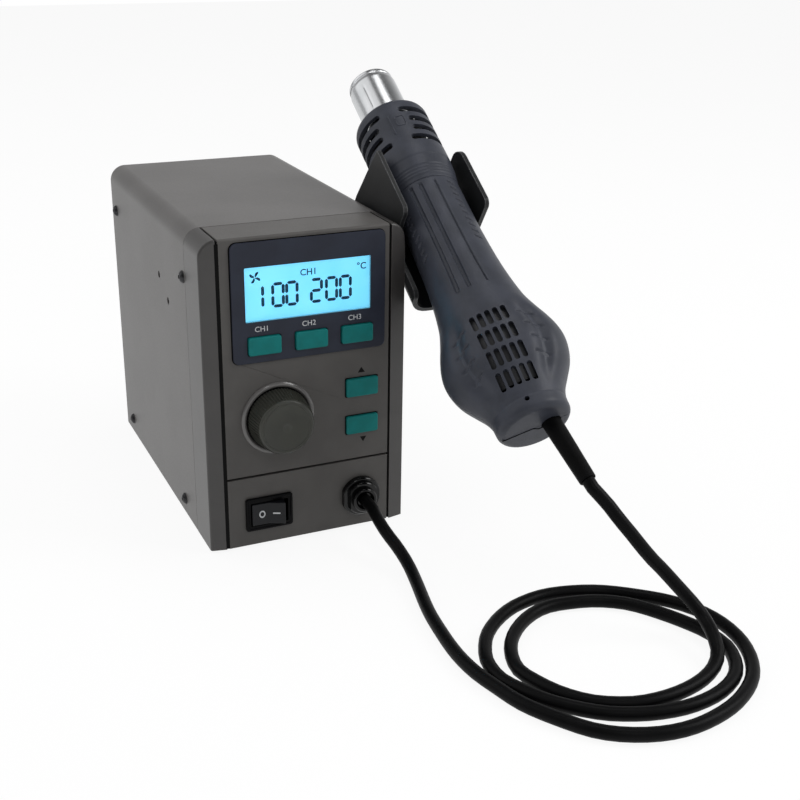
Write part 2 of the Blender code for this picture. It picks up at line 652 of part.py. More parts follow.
def build_switch():
    x, z = SWITCH
    half = SWITCH_BEZEL[0] / 2
    high = SWITCH_BEZEL[1] / 2
    body_x = SWITCH_BODY[0] / 2
    body_z = SWITCH_BODY[1] / 2
    back = ROCKER_PIVOT + 15.5
    label = "switch_housing"
    flange = rectangle(x - half, x + half, z - high, z + high, 1.5)
    housing = front_slab(label, flange, FRONT - 1.6, FRONT - GAP)
    add_boxes(housing, [
        ((x - body_x, FRONT - 1, z - body_z), (x + body_x, back, z + body_z)),
        ((x - 6.5, back - 1, z - 3.1), (x - 5.7, back + 8, z + 3.1)),
        ((x + 5.7, back - 1, z - 3.1), (x + 6.5, back + 8, z + 3.1)),
    ])
    well_x = ROCKER_HALF + 1.3
    well_z = ROCKER_HEIGHT / 2 + 0.4
    well = ((x - well_x, FRONT - 5, z - well_z), (x + well_x, ROCKER_PIVOT + 7, z + well_z))
    cut_boxes(housing, [well])
    pin_end = ROCKER_HEIGHT / 2 + 0.8
    seat = ((x, ROCKER_PIVOT, z - pin_end - GAP), (x, ROCKER_PIVOT, z + pin_end + GAP), 1.5 + GAP)
    cut_rods(housing, [seat], segments=16)
    paint(housing, "1c1c1d", 0.0, 0.35)
    label = "rocker"
    front = -3.6
    ends = front - ROCKER_HALF * math.tan(math.radians(ROCKER_TILT))
    half = ROCKER_HALF
    corners = [
        (0, front, 0), (half, ends, 0.5), (half - 0.4, 0.5, 0), (half - 3.9, 4.5, 0),
        (3.9 - half, 4.5, 0), (0.4 - half, 0.5, 0), (-half, ends, 0.5),
    ]
    tilt = Matrix.Rotation(math.radians(-ROCKER_TILT), 4, "Z")
    spot = moved(x, ROCKER_PIVOT, z) @ tilt
    rocker = place(label, outline_mesh(label, corners, ROCKER_HEIGHT), ROOT, spot)
    label = "rocker_pin"
    pin_mesh = rod_mesh(label, [((0, 0, -pin_end), (0, 0, pin_end), 1.5)])
    combine(rocker, place(label, pin_mesh, ROOT, spot, True), "UNION")
    paint(rocker, "232325", 0.0, 0.4)


def build_gland():
    spot = moved(GLAND[0], FRONT, GLAND[1]) @ FACE_FRONT
    end = GLAND_LENGTH
    profile = [
        (0, end), (6.2, end), (6.6, end - 0.4), (6.6, 5.6), (8.4, 5.4), (8.4, 3.4), (10, 3.1),
        (10, GAP), (GLAND_THREAD, GAP), (GLAND_THREAD, -7), (0, -7),
    ]
    gland = turned("cable_gland", profile, ROOT, spot, 24)
    x, z = GLAND
    cut_boxes(gland, [
        ((x - 12, FRONT - 10, z - 12), (x - 9.25, FRONT + 1, z + 12)),
        ((x + 9.25, FRONT - 10, z - 12), (x + 12, FRONT + 1, z + 12)),
    ], ROOT)
    paint(gland, "121214", 0.0, 0.15)
    label = "gland_nut"
    hexagon = front_rod(GLAND, PANEL_BACK + GAP, PANEL_BACK + GAP + 3, GLAND_THREAD + 3.6)
    nut = place(label, rod_mesh(label, [hexagon], 6), ROOT)
    cut_rods(nut, [front_rod(GLAND, PANEL_BACK - 2, PANEL_BACK + 6, GLAND_THREAD + GAP)])
    paint(nut, "161618", 0.0, 0.3)


# Power
def build_power():
    left, right, near, far = MAIN_BOARD
    label = "main_board"
    low = (left, near, BOARD_TOP - BOARD_THICK)
    board = place(label, box_mesh(label, [(low, (right, far, BOARD_TOP))]), ROOT)
    paint(board, "1d6b3a", 0.0, 0.4)
    build_transformer()
    seat = BOARD_TOP + GAP
    root = left + 14
    fins = []
    for index in range(6):
        y = near + 12 + 7 * index
        fins += [(root - 2, y, 0), (left + 1, y, 0), (left + 1, y + 1.5, 0), (root - 2, y + 1.5, 0)]
    height = 24
    corners = [(root, near + 12, 0)] + fins + [(root, near + 48.5, 0)]
    mesh = outline_mesh("heat_sink", corners, height)
    sink = place("heat_sink", mesh, ROOT, moved(0, 0, seat + height / 2))
    paint(sink, "a9abad", 1.0, 0.4)
    label = "triac"
    low = (root + GAP, near + 26, seat + 1.3)
    high = (root + 4.6, near + 36, seat + 16.8)
    triac = place(label, box_mesh(label, [(low, high)]), ROOT)
    leads = [near + offset for offset in (28.5, 31, 33.5)]
    add_boxes(triac, [
        ((root + 2, y - 0.4, seat), (root + 2.8, y + 0.4, seat + 1.8)) for y in leads
    ], "lead")
    paint(triac, "18181a", 0.0, 0.4)
    profile = [(0, 29.8), (7, 29.8), (8, 28.8), (8, 0), (0, 0)]
    spot = moved(left + 20, near + 75, seat)
    capacitor = turned("filter_capacitor", profile, ROOT, spot, 20)
    paint(capacitor, "23355f", 0.0, 0.35)


def build_transformer():
    """A core with two windows, and a winding round the limb between them."""
    x, y = TRANSFORMER
    foot = TRAY_TOP + GAP
    limb = 5.5
    window = 6.0
    stack = 10.0
    label = "transformer_core"
    low = (x - CORE_HALF, y - stack, foot)
    core = place(label, box_mesh(label, [(low, (x + CORE_HALF, y + stack, foot + 41.5))]), ROOT)
    windows = []
    for turn in (-1, 1):
        near, far = sorted((turn * limb, turn * (limb + window)))
        windows.append(((x + near, y - 15, foot + 6.5), (x + far, y + 15, foot + 35.5)))
    cut_boxes(core, windows)
    paint(core, "55585c", 0.8, 0.5)
    label = "transformer_winding"
    outer = limb + window - GAP - 0.2
    low = (x - outer, y - stack - 6, foot + 7)
    winding = place(label, box_mesh(label, [(low, (x + outer, y + stack + 6, foot + 35))]), ROOT)
    inner = limb + GAP
    hole = ((x - inner, y - stack - GAP, foot), (x + inner, y + stack + GAP, foot + 45))
    cut_boxes(winding, [hole])
    paint(winding, "c9a227", 0.0, 0.5)


def build_inlet():
    """A socket above a drawer that holds the fuse. The drawer's face is its origin."""
    x, z = INLET
    face = REAR_PANEL + SHEET + GAP + 2
    half_x = INLET_BODY[0] / 2
    half_z = INLET_BODY[1] / 2
    depth = 26.7
    label = "power_inlet"
    low = (x - half_x, face - depth, z - half_z)
    inlet = place(label, box_mesh(label, [(low, (x + half_x, face - 1.5, z + half_z))]), ROOT)
    low = (x - half_x - 1.8, face - 2, z - half_z - 2.5)
    add_boxes(inlet, [(low, (x + half_x + 1.8, face, z + half_z + 2.5))])
    socket = ((x - 12, face - 17, z - 2), (x + 12, face + 5, z + 14.4))
    cut_boxes(inlet, [socket], name="socket")
    drawer_z = z - 9.75
    half_drawer = (10.0, 4.25)
    slot_low = (x - half_drawer[0], face - depth + 2.7, drawer_z - half_drawer[1])
    slot_high = (x + half_drawer[0], face + 5, drawer_z + half_drawer[1])
    cut_boxes(inlet, [(slot_low, slot_high)], name="drawer")
    pins = [(x, z + 8.6), (x - 7, z + 3.6), (x + 7, z + 3.6)]
    add_boxes(inlet, [
        ((pin_x - 1, face - 18, pin_z - 2), (pin_x + 1, face - 7, pin_z + 2)) for pin_x, pin_z in pins
    ], "pin")
    paint(inlet, "19191b", 0.0, 0.4)
    spot = moved(x, face, drawer_z)
    label = "fuse_drawer"
    length = depth - 3
    wide = half_drawer[0] - GAP
    high = half_drawer[1] - GAP
    drawer = place(label, box_mesh(label, [((-wide, -length, -high), (wide, 0.5, high))]), ROOT, spot)
    piece = box_mesh(label + "_lip", [((-wide - 0.6, GAP, -high - 0.55), (wide + 0.6, 1.5, high + 0.55))])
    combine(drawer, place(label + "_lip", piece, ROOT, spot, True), "UNION")
    end = 1.4 - length
    piece = box_mesh(label + "_pocket", [((-2.9, end - 0.4, -1.9), (2.9, end + 20.6, 6))])
    combine(drawer, place(label + "_pocket", piece, ROOT, spot, True), "DIFFERENCE")
    paint(drawer, "202022", 0.0, 0.4)
    label = "fuse"
    fuse = place(label, rod_mesh(label, [((0, end, 1.0), (0, end + 20, 1.0), 2.5)]), ROOT, spot)
    paint(fuse, "b9bcc0", 0.6, 0.2)


def build_feet_and_screws():
    stem = FOOT_STEM
    catch = TRAY_TOP + GAP
    shoulder = BASE - GAP
    profile = [
        (0, catch + 1.9), (stem + 0.4, catch + 1.9), (stem + 1.2, catch + 0.9), (stem + 1.2, catch),
        (stem, catch), (stem, shoulder), (7.5, shoulder), (7.5, 0.5), (7, 0), (0, 0),
    ]
    for index, (x, y) in enumerate(FOOT_SPOTS, 1):
        foot = turned(f"foot_{index}", profile, ROOT, moved(x, y, 0), 12)
        paint(foot, "1b1b1c", 0.0, 0.8)
    number = 0
    for turn in (-1, 1):
        for y, z in SIDE_SCREWS:
            number += 1
            build_screw(f"case_screw_{number}", turn, HALF_WIDTH + GAP, y, z)
    for index, (y, z) in enumerate(HOLDER_HOLES, 1):
        build_screw(f"holder_screw_{index}", 1, ARM_LEFT + GAP, y, z)


def build_screw(name, turn, seat, y, z):
    """A dome head with a hexagon socket. Its shaft points into the case."""
    profile = [(0, 1.75), (1.8, 1.55), (3, 0), (1.4, 0), (1.4, -6), (0, -6)]
    away = Matrix.Rotation(turn * math.pi / 2, 4, "Y")
    spot = moved(turn * seat, y, z) @ away
    screw = turned(name, profile, ROOT, spot, 12)
    socket = place(name + "_socket", rod_mesh(name, [((0, 0, 0.5), (0, 0, 3), 1.15)], 6), ROOT, spot, True)
    combine(screw, socket, "DIFFERENCE")
    paint(screw, "2a2a2c", 0.8, 0.35)


# Holder, in a frame with X across, Y along the handle and Z out of the cradle
def build_holder():
    half = HOLDER_SHEET / 2
    left = ARM_LEFT - half
    right = ARM_RIGHT + half
    floor = CRADLE_FLOOR - half
    bend = 8.0
    start, end = ARM_ENDS
    path = [(left, ARM_TOP)]
    for middle, first in ((left + bend, 180), (right - bend, 270)):
        for step in range(7):
            angle = math.radians(first + 90 * step / 6)
            path.append((middle + bend * math.cos(angle), floor + bend + bend * math.sin(angle)))
    path.append((right, ARM_TOP))
    holder = place("gun_holder", strip_mesh("gun_holder", path, FLOOR_START, end), HOLDER)
    sheet = holder.modifiers.new("Sheet", "SOLIDIFY")
    sheet.thickness = HOLDER_SHEET * MM
    sheet.offset = 0
    sheet.use_even_offset = True
    low_edge = floor + bend + 4
    clear = ARM_TOP + 5
    front_left = ((ARM_LEFT - 8, FLOOR_START - 4, low_edge), (ARM_LEFT + 8, start, clear))
    cut_boxes(holder, [front_left], name="front_left")
    trim = [
        (start, clear, 0), (FLOOR_START - 4, clear, 0), (FLOOR_START - 4, floor - 10, 0),
        (start - 12, floor - 1.7, 0), (start, floor + 10, 0),
    ]
    round_off = [
        (end + 14, ARM_TOP - 10, 0), (end + 14, ARM_TOP + 10, 0), (end - 10, ARM_TOP + 10, 0),
        (end - 10, ARM_TOP, 0), (end, ARM_TOP, CORNER), (end, ARM_TOP - 10, 0),
    ]
    beside = moved(ARM_RIGHT + 1, 0, 0) @ FACE_SIDE
    for label, corners in (("gun_holder_front_right", trim), ("gun_holder_corner", round_off)):
        piece = place(label, outline_mesh(label, corners, 12), HOLDER, beside, True)
        combine(holder, piece, "DIFFERENCE")
    foot = -64.0
    plate = [
        (start, ARM_TOP, 3), (start, floor + 10, 0), (start + 13, floor + 1, 0),
        (start + 13, foot, 4), (end + 6, foot, 4), (end + 6, floor - 1, 0), (end, ARM_TOP, 3),
    ]
    label = "gun_holder_plate"
    mesh = outline_mesh(label, plate, HOLDER_SHEET)
    combine(holder, place(label, mesh, HOLDER, moved(left, 0, 0) @ FACE_SIDE, True), "UNION")
    holes = side_rods(HOLDER_HOLES, 1, ARM_LEFT - 6, ARM_LEFT + 4, SCREW_HOLE)
    cut_rods(holder, holes, ROOT, "holes", 10)
    paint(holder, "3b3b3b", 0.3, 0.45)


# Handle, in a frame with X to its side, Y to its rear and Z to the nozzle
def ring_loft(name, rings, sides=28):
    """Circles stretched to each section, bridged one to the next and closed at both ends."""
    bm = bmesh.new()
    loops = []
    for place_z, half_x, half_y in rings:
        scale = Matrix.Diagonal((half_x * MM, half_y * MM, 1, 1))
        made = bmesh.ops.create_circle(bm, segments=sides, radius=1, matrix=moved(0, 0, place_z) @ scale)
        verts = set(made["verts"])
        loops.append([edge for edge in bm.edges if verts.issuperset(edge.verts)])
    for first, second in zip(loops, loops[1:]):
        bmesh.ops.bridge_loops(bm, edges=first + second)
    for loop in (loops[0], loops[-1]):
        bmesh.ops.contextual_create(bm, geom=loop)
    return finished_mesh(bm, name)


def build_handle_shells():
    for name, turn in (("handle_front_shell", -1), ("handle_rear_shell", 1)):
        shell = place(name, ring_loft(name, SECTIONS), HANDLE)
        label = name + "_hollow"
        combine(shell, place(label, ring_loft(label, hollow_rings()), HANDLE, tool=True), "DIFFERENCE")
        radius = 4.2 if turn > 0 else 3.4
        bosses = [((0, turn * 0.6, s), (0, turn * depth, s), radius) for s, depth in SHELL_SCREWS]
        add_rods(shell, bosses, "boss")
        if turn > 0:
            add_rods(shell, [((0, BLOWER_BACK + GAP, BLOWER), (0, 21, BLOWER), 5)], "blower")
            ends = (BOARD_ENDS[0] + 1, BOARD_ENDS[1] - 4)
            add_boxes(shell, [
                ((-9, BOARD_DEPTH + BOARD_THICK + GAP, s), (9, 15.4, s + 2)) for s in ends
            ], "rib")
        edge = sorted((-40 * turn, GAP / 2 * turn))
        cut_boxes(shell, [((-40, edge[0], SHELL_END - 20), (40, edge[1], GUARD_START + 20))], name="half")
        hole = (boot_point(6), boot_point(-6), BOOT_RADIUS + GAP)
        cut_rods(shell, [hole], name="boot_hole")
        spots = [s for s, depth in SHELL_SCREWS]
        if turn > 0:
            cut_rods(shell, [((0, -1, s), (0, 30, s), 1.5) for s in spots], segments=12)
            sinks = [((0, SCREW_SEAT, s), (0, 30, s), 3.0) for s in spots]
            cut_rods(shell, sinks, name="sink", segments=16)
        else:
            cut_rods(shell, [((0, -11, s), (0, 2, s), 1.5) for s in spots], segments=12)
            pinhole = ((0, -30, SHELL_END + 5.7), (0, -12, SHELL_END + 5.7), 1.1)
            cut_rods(shell, [pinhole], name="pinhole", segments=12)
            cut_boxes(shell, grille_slots(), name="grille")
        paint(shell, "3a3d45", 0.0, 0.5)
    for index, (s, depth) in enumerate(SHELL_SCREWS, 1):
        profile = [(0, 1.6), (2.1, 1.6), (2.6, 1.1), (2.6, 0), (1.25, 0), (1.25, -20), (0, -20)]
        spot = moved(0, SCREW_SEAT + GAP, s) @ Matrix.Rotation(-math.pi / 2, 4, "X")
        screw = turned(f"shell_screw_{index}", profile, HANDLE, spot, 16)
        paint(screw, "8d8f92", 0.9, 0.35)


def hollow_rings():
    """The sections less the wall, open to the nozzle through a narrower neck."""
    rings = []
    for s, half_x, half_y in SECTIONS[2:-2:2] + SECTIONS[-2:-1]:
        rings.append((s, half_x - SHELL_WALL, half_y - SHELL_WALL))
    rings[-1] = (SHELL_END + SHELL_WALL, rings[-1][1], rings[-1][2])
    neck = rings[0][1] - 1.7
    return [(GUARD_START + 5, neck, neck), (GUARD_START - 2.6, neck, neck)] + rings


def grille_slots():
    slots = []
    for row in range(4):
        z = BLOWER + 10 - 10 * row
        for column in range(-2, 3):
            x = 3.6 * column
            slots.append(((x - 1, -30, z - 4.1), (x + 1, -14, z + 4.1)))
    return slots


def boot_point(distance):
    x, y, z = BOOT_ROOT
    return (x + distance * math.sin(BOOT_SLANT), y, z - distance * math.cos(BOOT_SLANT))


def build_boot():
    start = Vector(boot_point(0)) * MM
    along = (Vector(boot_point(1)) - Vector(boot_point(0))).normalized()
    turn = along.to_track_quat("Z", "Y").to_matrix().to_4x4()
    profile = [
        (0, BOOT_LENGTH), (3.6, BOOT_LENGTH), (BOOT_RADIUS, 4),
        (BOOT_RADIUS, -SHELL_WALL - 0.8), (6, -SHELL_WALL - 0.8), (6, -SHELL_WALL - 2.8),
        (0, -SHELL_WALL - 2.8),
    ]
    boot = turned("handle_boot", profile, HANDLE, Matrix.Translation(start) @ turn, 20)
    paint(boot, "151517", 0.0, 0.5)


def build_nozzle():
    outer = GUARD_RADIUS
    mouth = TUBE_RADIUS + 0.5
    step = GUARD_STEP
    low = GUARD_START
    profile = [
        (mouth, GUARD_END), (outer - 2.4, GUARD_END), (outer - 0.8, GUARD_END - 0.9),
        (outer, GUARD_END - 3), (outer, step), (outer - 0.5, step - 0.3),
        (outer - 0.6, step - 6.7), (outer - 0.9, step - 6.9), (outer - 1.3, step - 9.8),
        (outer - 1.4, low), (outer - 4.2, low), (outer - 4.2, low + 1.4), (outer - 2.5, low + 1.4),
        (outer - 2, step - 0.5), (outer - 2, GUARD_END - 3), (mouth, GUARD_END - 1.8),
    ]
    guard = turned("nose_guard", profile, HANDLE, None, 32)
    slots = []
    for s, angle in zip([GUARD_END - offset for offset in (8, 14.5, 20.5, 27)], (15, 24, 24, 15)):
        edge = GUARD_RADIUS * math.sin(math.radians(angle))
        for turn in (-1, 1):
            near, far = sorted((turn * edge, turn * 30))
            slots.append(((near, -30, s - 1.5), (far, 30, s + 1.5)))
    cut_boxes(guard, slots, name="slots")
    paint(guard, "3a3d45", 0.0, 0.5)
    seat = GUARD_START + 1.8
    flange = GUARD_RADIUS - 2.8
    bore = TUBE_RADIUS - TUBE_WALL
    profile = [
        (TUBE_RADIUS + 0.3, TUBE_END), (TUBE_RADIUS + 0.3, TUBE_END - 3.1),
        (TUBE_RADIUS, TUBE_END - 3.3), (TUBE_RADIUS, seat + 1.8), (flange, seat + 1.8),
        (flange, seat), (bore, seat), (bore, TUBE_END),
    ]
    tube = turned("heater_tube", profile, HANDLE, None, 32)
    paint(tube, "c4c6c9", 1.0, 0.28)
    outer = bore - GAP
    inner = outer - 0.5
    profile = [(outer, TUBE_END - 4.6), (outer, seat), (inner, seat), (inner, TUBE_END - 4.6)]
    sleeve = turned("mica_sleeve", profile, HANDLE, None, 24)
    paint(sleeve, "b59a62", 0.0, 0.5)
    label = "heater_core"
    core = place(label, rod_mesh(label, [((0, 0, seat), (0, 0, seat + 3), inner - GAP)], 20), HANDLE)
    reach = inner - 0.9
    top = TUBE_END - 9.6
    add_boxes(core, [
        ((-reach, -1.4, seat + 2), (reach, 1.4, top)),
        ((-1.4, -reach, seat + 2), (1.4, reach, top)),
    ])
    paint(core, "d8d2c4", 0.0, 0.7)


def build_blower():
    """An open cup with a pin, and a bladed wheel on the pin."""
    spot = moved(0, 0, BLOWER) @ Matrix.Rotation(math.pi / 2, 4, "X")
    outer = BLOWER_RADIUS
    back = -BLOWER_BACK
    pin = 1.2
    profile = [
        (0, 6), (pin, 6), (pin, back + 1.8), (outer - 1.6, back + 1.8), (outer - 1.6, 8),
        (outer, 8), (outer, back), (0, back),
    ]
    housing = turned("blower_housing", profile, HANDLE, spot, 24)
    outlet = ((-8, -20, BLOWER + outer - 7), (8, BLOWER_BACK - 2.2, BLOWER + outer + 9))
    cut_boxes(housing, [outlet])
    paint(housing, "26272b", 0.0, 0.5)
    bore = pin + GAP
    reach = outer - 3.2
    disc = back + 3.2
    profile = [(bore, 6), (6.5, 6), (6.5, disc + 1.2), (reach, disc + 1.2), (reach, disc), (bore, disc)]
    impeller = turned("blower_impeller", profile, HANDLE, spot, 21)
    for index in range(7):
        label = f"blower_impeller_blade_{index + 1}"
        mesh = box_mesh(label, [((6, -0.5, disc + 0.8), (reach - 0.4, 0.5, 6))])
        turn = Matrix.Rotation(2 * math.pi * index / 7 + 0.3, 4, "Z")
        combine(impeller, place(label, mesh, HANDLE, spot @ turn, True), "UNION")
    paint(impeller, "dadcd8", 0.0, 0.5)
    label = "handle_board"
    low = (-11.5, BOARD_DEPTH, BOARD_ENDS[0])
    high = (11.5, BOARD_DEPTH + BOARD_THICK, BOARD_ENDS[1])
    board = place(label, box_mesh(label, [(low, high)]), HANDLE)
    paint(board, "1d6b3a", 0.0, 0.4)


# Cord. Its two ends leave the gland and the boot straight
def smooth_route(points, step):
    """Points at even steps along a smooth curve through the route."""
    points = [Vector(point) for point in points]
    ends = [2 * points[0] - points[1]] + points + [2 * points[-1] - points[-2]]
    fine = []
    for index in range(len(points) - 1):
        a, b, c, d = ends[index : index + 4]
        for part in range(12):
            t = part / 12
            fine.append(0.5 * (2 * b + (c - a) * t + (2 * a - 5 * b + 4 * c - d) * t ** 2
                               + (3 * b - a - 3 * c + d) * t ** 3))
    fine.append(points[-1])
    length = sum((b - a).length for a, b in zip(fine, fine[1:]))
    count = round(length / step)
    even = [fine[0]]
    walked = 0.0
    for a, b in zip(fine, fine[1:]):
        span = (b - a).length
        while len(even) < count and walked + span >= length * len(even) / count:
            even.append(a.lerp(b, (length * len(even) / count - walked) / span))
        walked += span
    return even + [fine[-1]]


def build_cord(before_last, last):
    first = Vector((GLAND[0], FRONT - GLAND_LENGTH - GAP, GLAND[1]))
    floor = [(x, y, CORD_RADIUS + 0.1) for x, y in CORD_FLOOR]
    route = smooth_route(CORD_RISE_START + floor + CORD_RISE_END + [before_last], CORD_STEP)
    route = [first] + route + [last]
    curve = bpy.data.curves.new("handle_cord", "CURVE")
    curve.dimensions = "3D"
    curve.bevel_depth = CORD_RADIUS * MM
    curve.bevel_resolution = 2
    curve.use_fill_caps = True
    spline = curve.splines.new("POLY")
    spline.points.add(len(route) - 1)
    for point, spot in zip(spline.points, route):
        point.co = (*(spot * MM), 1)
    cord = place("handle_cord", curve, ROOT)
    paint(cord, "141415", 0.0, 0.6)


clear_scene()
STATION = new_group("hot_air_station")
TOOLS = new_group("cutters")
ROOT = new_frame("station_frame")
RISING = moved(0, *HANDLE_SPOT) @ Matrix.Rotation(PITCH, 4, "X")
ROLLED = Matrix.Rotation(ROLL, 4, "Y") @ Matrix.Rotation(-math.pi / 2, 4, "X")
HOLDER = new_frame("holder_frame", ROOT, RISING)
HANDLE = new_frame("handle_frame", ROOT, RISING @ moved(HANDLE_X, 0, 0) @ ROLLED)

build_tray()
build_cover()
build_front_frame()
build_control_panel()
build_lower_panel()
build_display()
build_control_board()
build_knob()
for number, offset in enumerate(CHANNEL_BUTTONS, 1):
    build_button(
        f"channel_button_{number}", offset, CHANNEL_HEIGHT, CHANNEL_SIZE, BEZEL_FRONT, PANEL_BACK + GAP
    )
for label, (across, height) in STEP_BUTTONS.items():
    build_button(label, across, height, STEP_SIZE, FRONT, PANEL_BACK + GAP)
build_switch()
build_gland()
build_power()
build_inlet()
build_feet_and_screws()
build_holder()
build_handle_shells()
build_nozzle()
build_blower()
build_boot()
bpy.context.view_layer.update()
cord_ends = []
for distance in (BOOT_LENGTH + 4, BOOT_LENGTH + GAP):
    cord_ends.append(HANDLE.matrix_world @ (Vector(boot_point(distance)) * MM) / MM)
build_cord(*cord_ends)

# The frame's origin goes under the middle of everything but the cord
bpy.context.view_layer.update()
graph = bpy.context.evaluated_depsgraph_get()
points = []
for obj in STATION.objects:
    if obj.type == "EMPTY" or obj.name == "handle_cord":
        continue
    solid = obj.evaluated_get(graph)
    points += [solid.matrix_world @ vert.co for vert in solid.to_mesh().vertices]
    solid.to_mesh_clear()
for axis in (0, 1):
    low = min(point[axis] for point in points)
    high = max(point[axis] for point in points)
    ROOT.location[axis] = -(low + high) / 2
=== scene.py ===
"""Hot air rework station dressed for a plain studio picture: a painted steel case with a
moulded front, and a handle in a bent holder. Shapes are drawn in millimetres, in the
case's own frame or in the handle's, and become metres when they are put in place."""

import math

import bmesh
import bpy
import numpy as np
from mathutils import Matrix, Vector


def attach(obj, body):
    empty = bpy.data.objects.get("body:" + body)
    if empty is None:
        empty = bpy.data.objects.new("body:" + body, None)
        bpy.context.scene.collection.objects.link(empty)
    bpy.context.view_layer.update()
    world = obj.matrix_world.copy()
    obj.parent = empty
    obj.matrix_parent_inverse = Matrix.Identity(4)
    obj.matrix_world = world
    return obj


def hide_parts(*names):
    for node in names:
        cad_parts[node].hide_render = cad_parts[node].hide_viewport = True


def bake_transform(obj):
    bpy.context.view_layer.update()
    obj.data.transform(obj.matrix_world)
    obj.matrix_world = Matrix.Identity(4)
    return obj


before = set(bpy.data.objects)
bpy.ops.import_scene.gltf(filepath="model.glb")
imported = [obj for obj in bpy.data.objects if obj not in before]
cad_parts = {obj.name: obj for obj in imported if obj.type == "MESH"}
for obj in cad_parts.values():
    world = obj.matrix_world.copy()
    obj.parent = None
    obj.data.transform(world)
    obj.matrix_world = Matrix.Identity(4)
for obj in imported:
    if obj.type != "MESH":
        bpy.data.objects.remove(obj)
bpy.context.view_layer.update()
MM = 0.001

# The case's frame has its middle on the case's centre line. The handle's frame has X to
# its side, Y to its rear and Z to the nozzle
ORIGIN = Vector((-24.05, 56.513, 0))
CASE = Matrix.Translation(ORIGIN * MM) @ Matrix.Scale(MM, 4)
RISING = Matrix.Translation((0, -87.86, 133.61)) @ Matrix.Rotation(math.radians(33.33), 4, "X")
ROLLED = Matrix.Rotation(math.radians(-26), 4, "Y") @ Matrix.Rotation(-math.pi / 2, 4, "X")
HANDLE = CASE @ RISING @ Matrix.Translation((71.5, 0, 0)) @ ROLLED
FACE_FRONT = Matrix.Rotation(math.pi / 2, 4, "X")

# Case and front
HALF_WIDTH = 49.0
PANEL_HALF = 40.5
GROOVE = 1.1
FRONT = -85.0
BACK = 85.0
BASE = 1.2
TOP = 151.0
SHEET = 1.2
CORNER = 8.0
SEAM = FRONT + 24.0
SIDE_SCREWS = [(-56.9, 128.0), (75.6, 128.5), (-40.1, 9.0), (68.6, 9.5)]
HOLDER_SCREWS = [(-12.5, 117.0), (-27.6, 108.0)]
FEET = [(-33, -58), (33, -58), (-33, 58), (33, 58)]
BEZEL = (-35.5, 38.0, 93.2, 148.9)
BEZEL_FRONT = FRONT - 1.2
WINDOW = (-29.2, 30.7, 112.4, 137.5)
GLASS = FRONT + 0.4
CHANNELS = [(-20.85, 101.25), (1.5, 101.25), (23.85, 101.25)]
CHANNEL_SIZE = (15.4, 8.4)
STEPS = [(26.85, 74.05), (26.85, 55.05)]
STEP_SIZE = (16.0, 9.0)
KNOB = (-14.9, 64.55)
KNOB_RADIUS = 14.75
KNOB_TIP = 12.9
SWITCH = (-20.55, 17.4)
SWITCH_BEZEL = (23.1, 16.8)
ROCKER_PIVOT = FRONT + 1.5
ROCKER_TILT = 12.0
GLAND = (26.0, 17.4)
INLET = (-18.0, 32.0)
HOLDER_SHEET = 2.2

# Handle
SHELL_END = -98.7
SHELL_WALL = 2.2
GUARD_RADIUS = 18.8
TUBE_RADIUS = 12.1
BLOWER = -62.0
BOOT_SLANT = math.radians(5.5)
BOOT_LENGTH = 31.4
SECTIONS = [
    (34.0, 17.0, 17.0), (3.0, 17.2, 17.2), (-21.6, 18.7, 18.1), (-31.5, 20.0, 19.0),
    (-38.4, 21.3, 19.8), (-46.0, 23.8, 21.0), (-53.0, 26.5, 22.0), (-58.0, 28.0, 22.5),
    (-63.0, 28.7, 22.6), (-69.0, 28.1, 22.3), (-75.0, 26.1, 21.3), (-81.8, 21.9, 19.3),
    (-86.0, 19.2, 18.2), (-90.0, 17.6, 17.4), (-97.2, 17.0, 17.0),
]

# Cord
CORD_RADIUS = 2.9
CORD_RISE_START = [
    (26, -96.5, 17.4), (26, -101, 17), (25.5, -108, 15.3), (25.8, -117.3, 12.5),
    (27.7, -126.9, 8.5), (28.2, -137, 5.2), (26.4, -149.4, 3.4),
]
CORD_FLOOR = [
    (21.1, -173), (18.6, -190.7), (17.3, -207.1), (18.1, -221.3), (20.9, -233.6),
    (25.2, -248.1), (33, -261.7), (42.1, -273.5), (53.8, -281.1), (67.8, -285.3),
    (82.8, -285.2), (100.1, -280.5), (115.3, -271.3), (124.7, -260.3), (130.3, -247.7),
    (132, -235.2), (130.2, -223.2), (124.7, -212), (115.2, -201.5), (97.2, -188.3),
    (76.5, -182.3), (59.7, -184.2), (47, -190.2), (36.3, -199.2), (29.9, -208.6),
    (25.9, -218.6), (25.4, -230.4), (29.7, -241), (36.8, -252.4), (48.5, -263.7),
    (59, -269.6), (70.9, -273.4), (85.2, -274.7), (100.9, -271.6), (114.2, -263.4),
    (122, -249.8), (122.2, -237.7), (119.2, -228), (112.3, -214.6), (104.1, -203.2),
    (94.2, -196.2), (83.6, -192.6), (69.7, -191.1), (57.2, -195.5), (46, -204.2),
    (38.6, -214.7), (34.9, -227.1), (37.3, -237.5), (42.2, -248), (49.3, -256.6),
    (57.3, -261.8), (67.5, -265.5), (81.2, -266.2), (95.1, -263.6),
]
CORD_RISE_END = [
    (106, -258.8, 3.4), (113, -253.1, 5), (115.1, -248.7, 7.5), (116.8, -243.6, 9.3),
    (118.1, -237.6, 10.8), (117.8, -233.7, 13), (116.2, -229.8, 16), (113.2, -227, 20),
    (109.7, -224, 24.5), (105.7, -221.8, 29.5), (101.3, -219.5, 34.5), (96.7, -217.3, 40.5),
    (93.1, -213.7, 46), (89.5, -210.9, 51), (86.3, -206.3, 56.5),
]


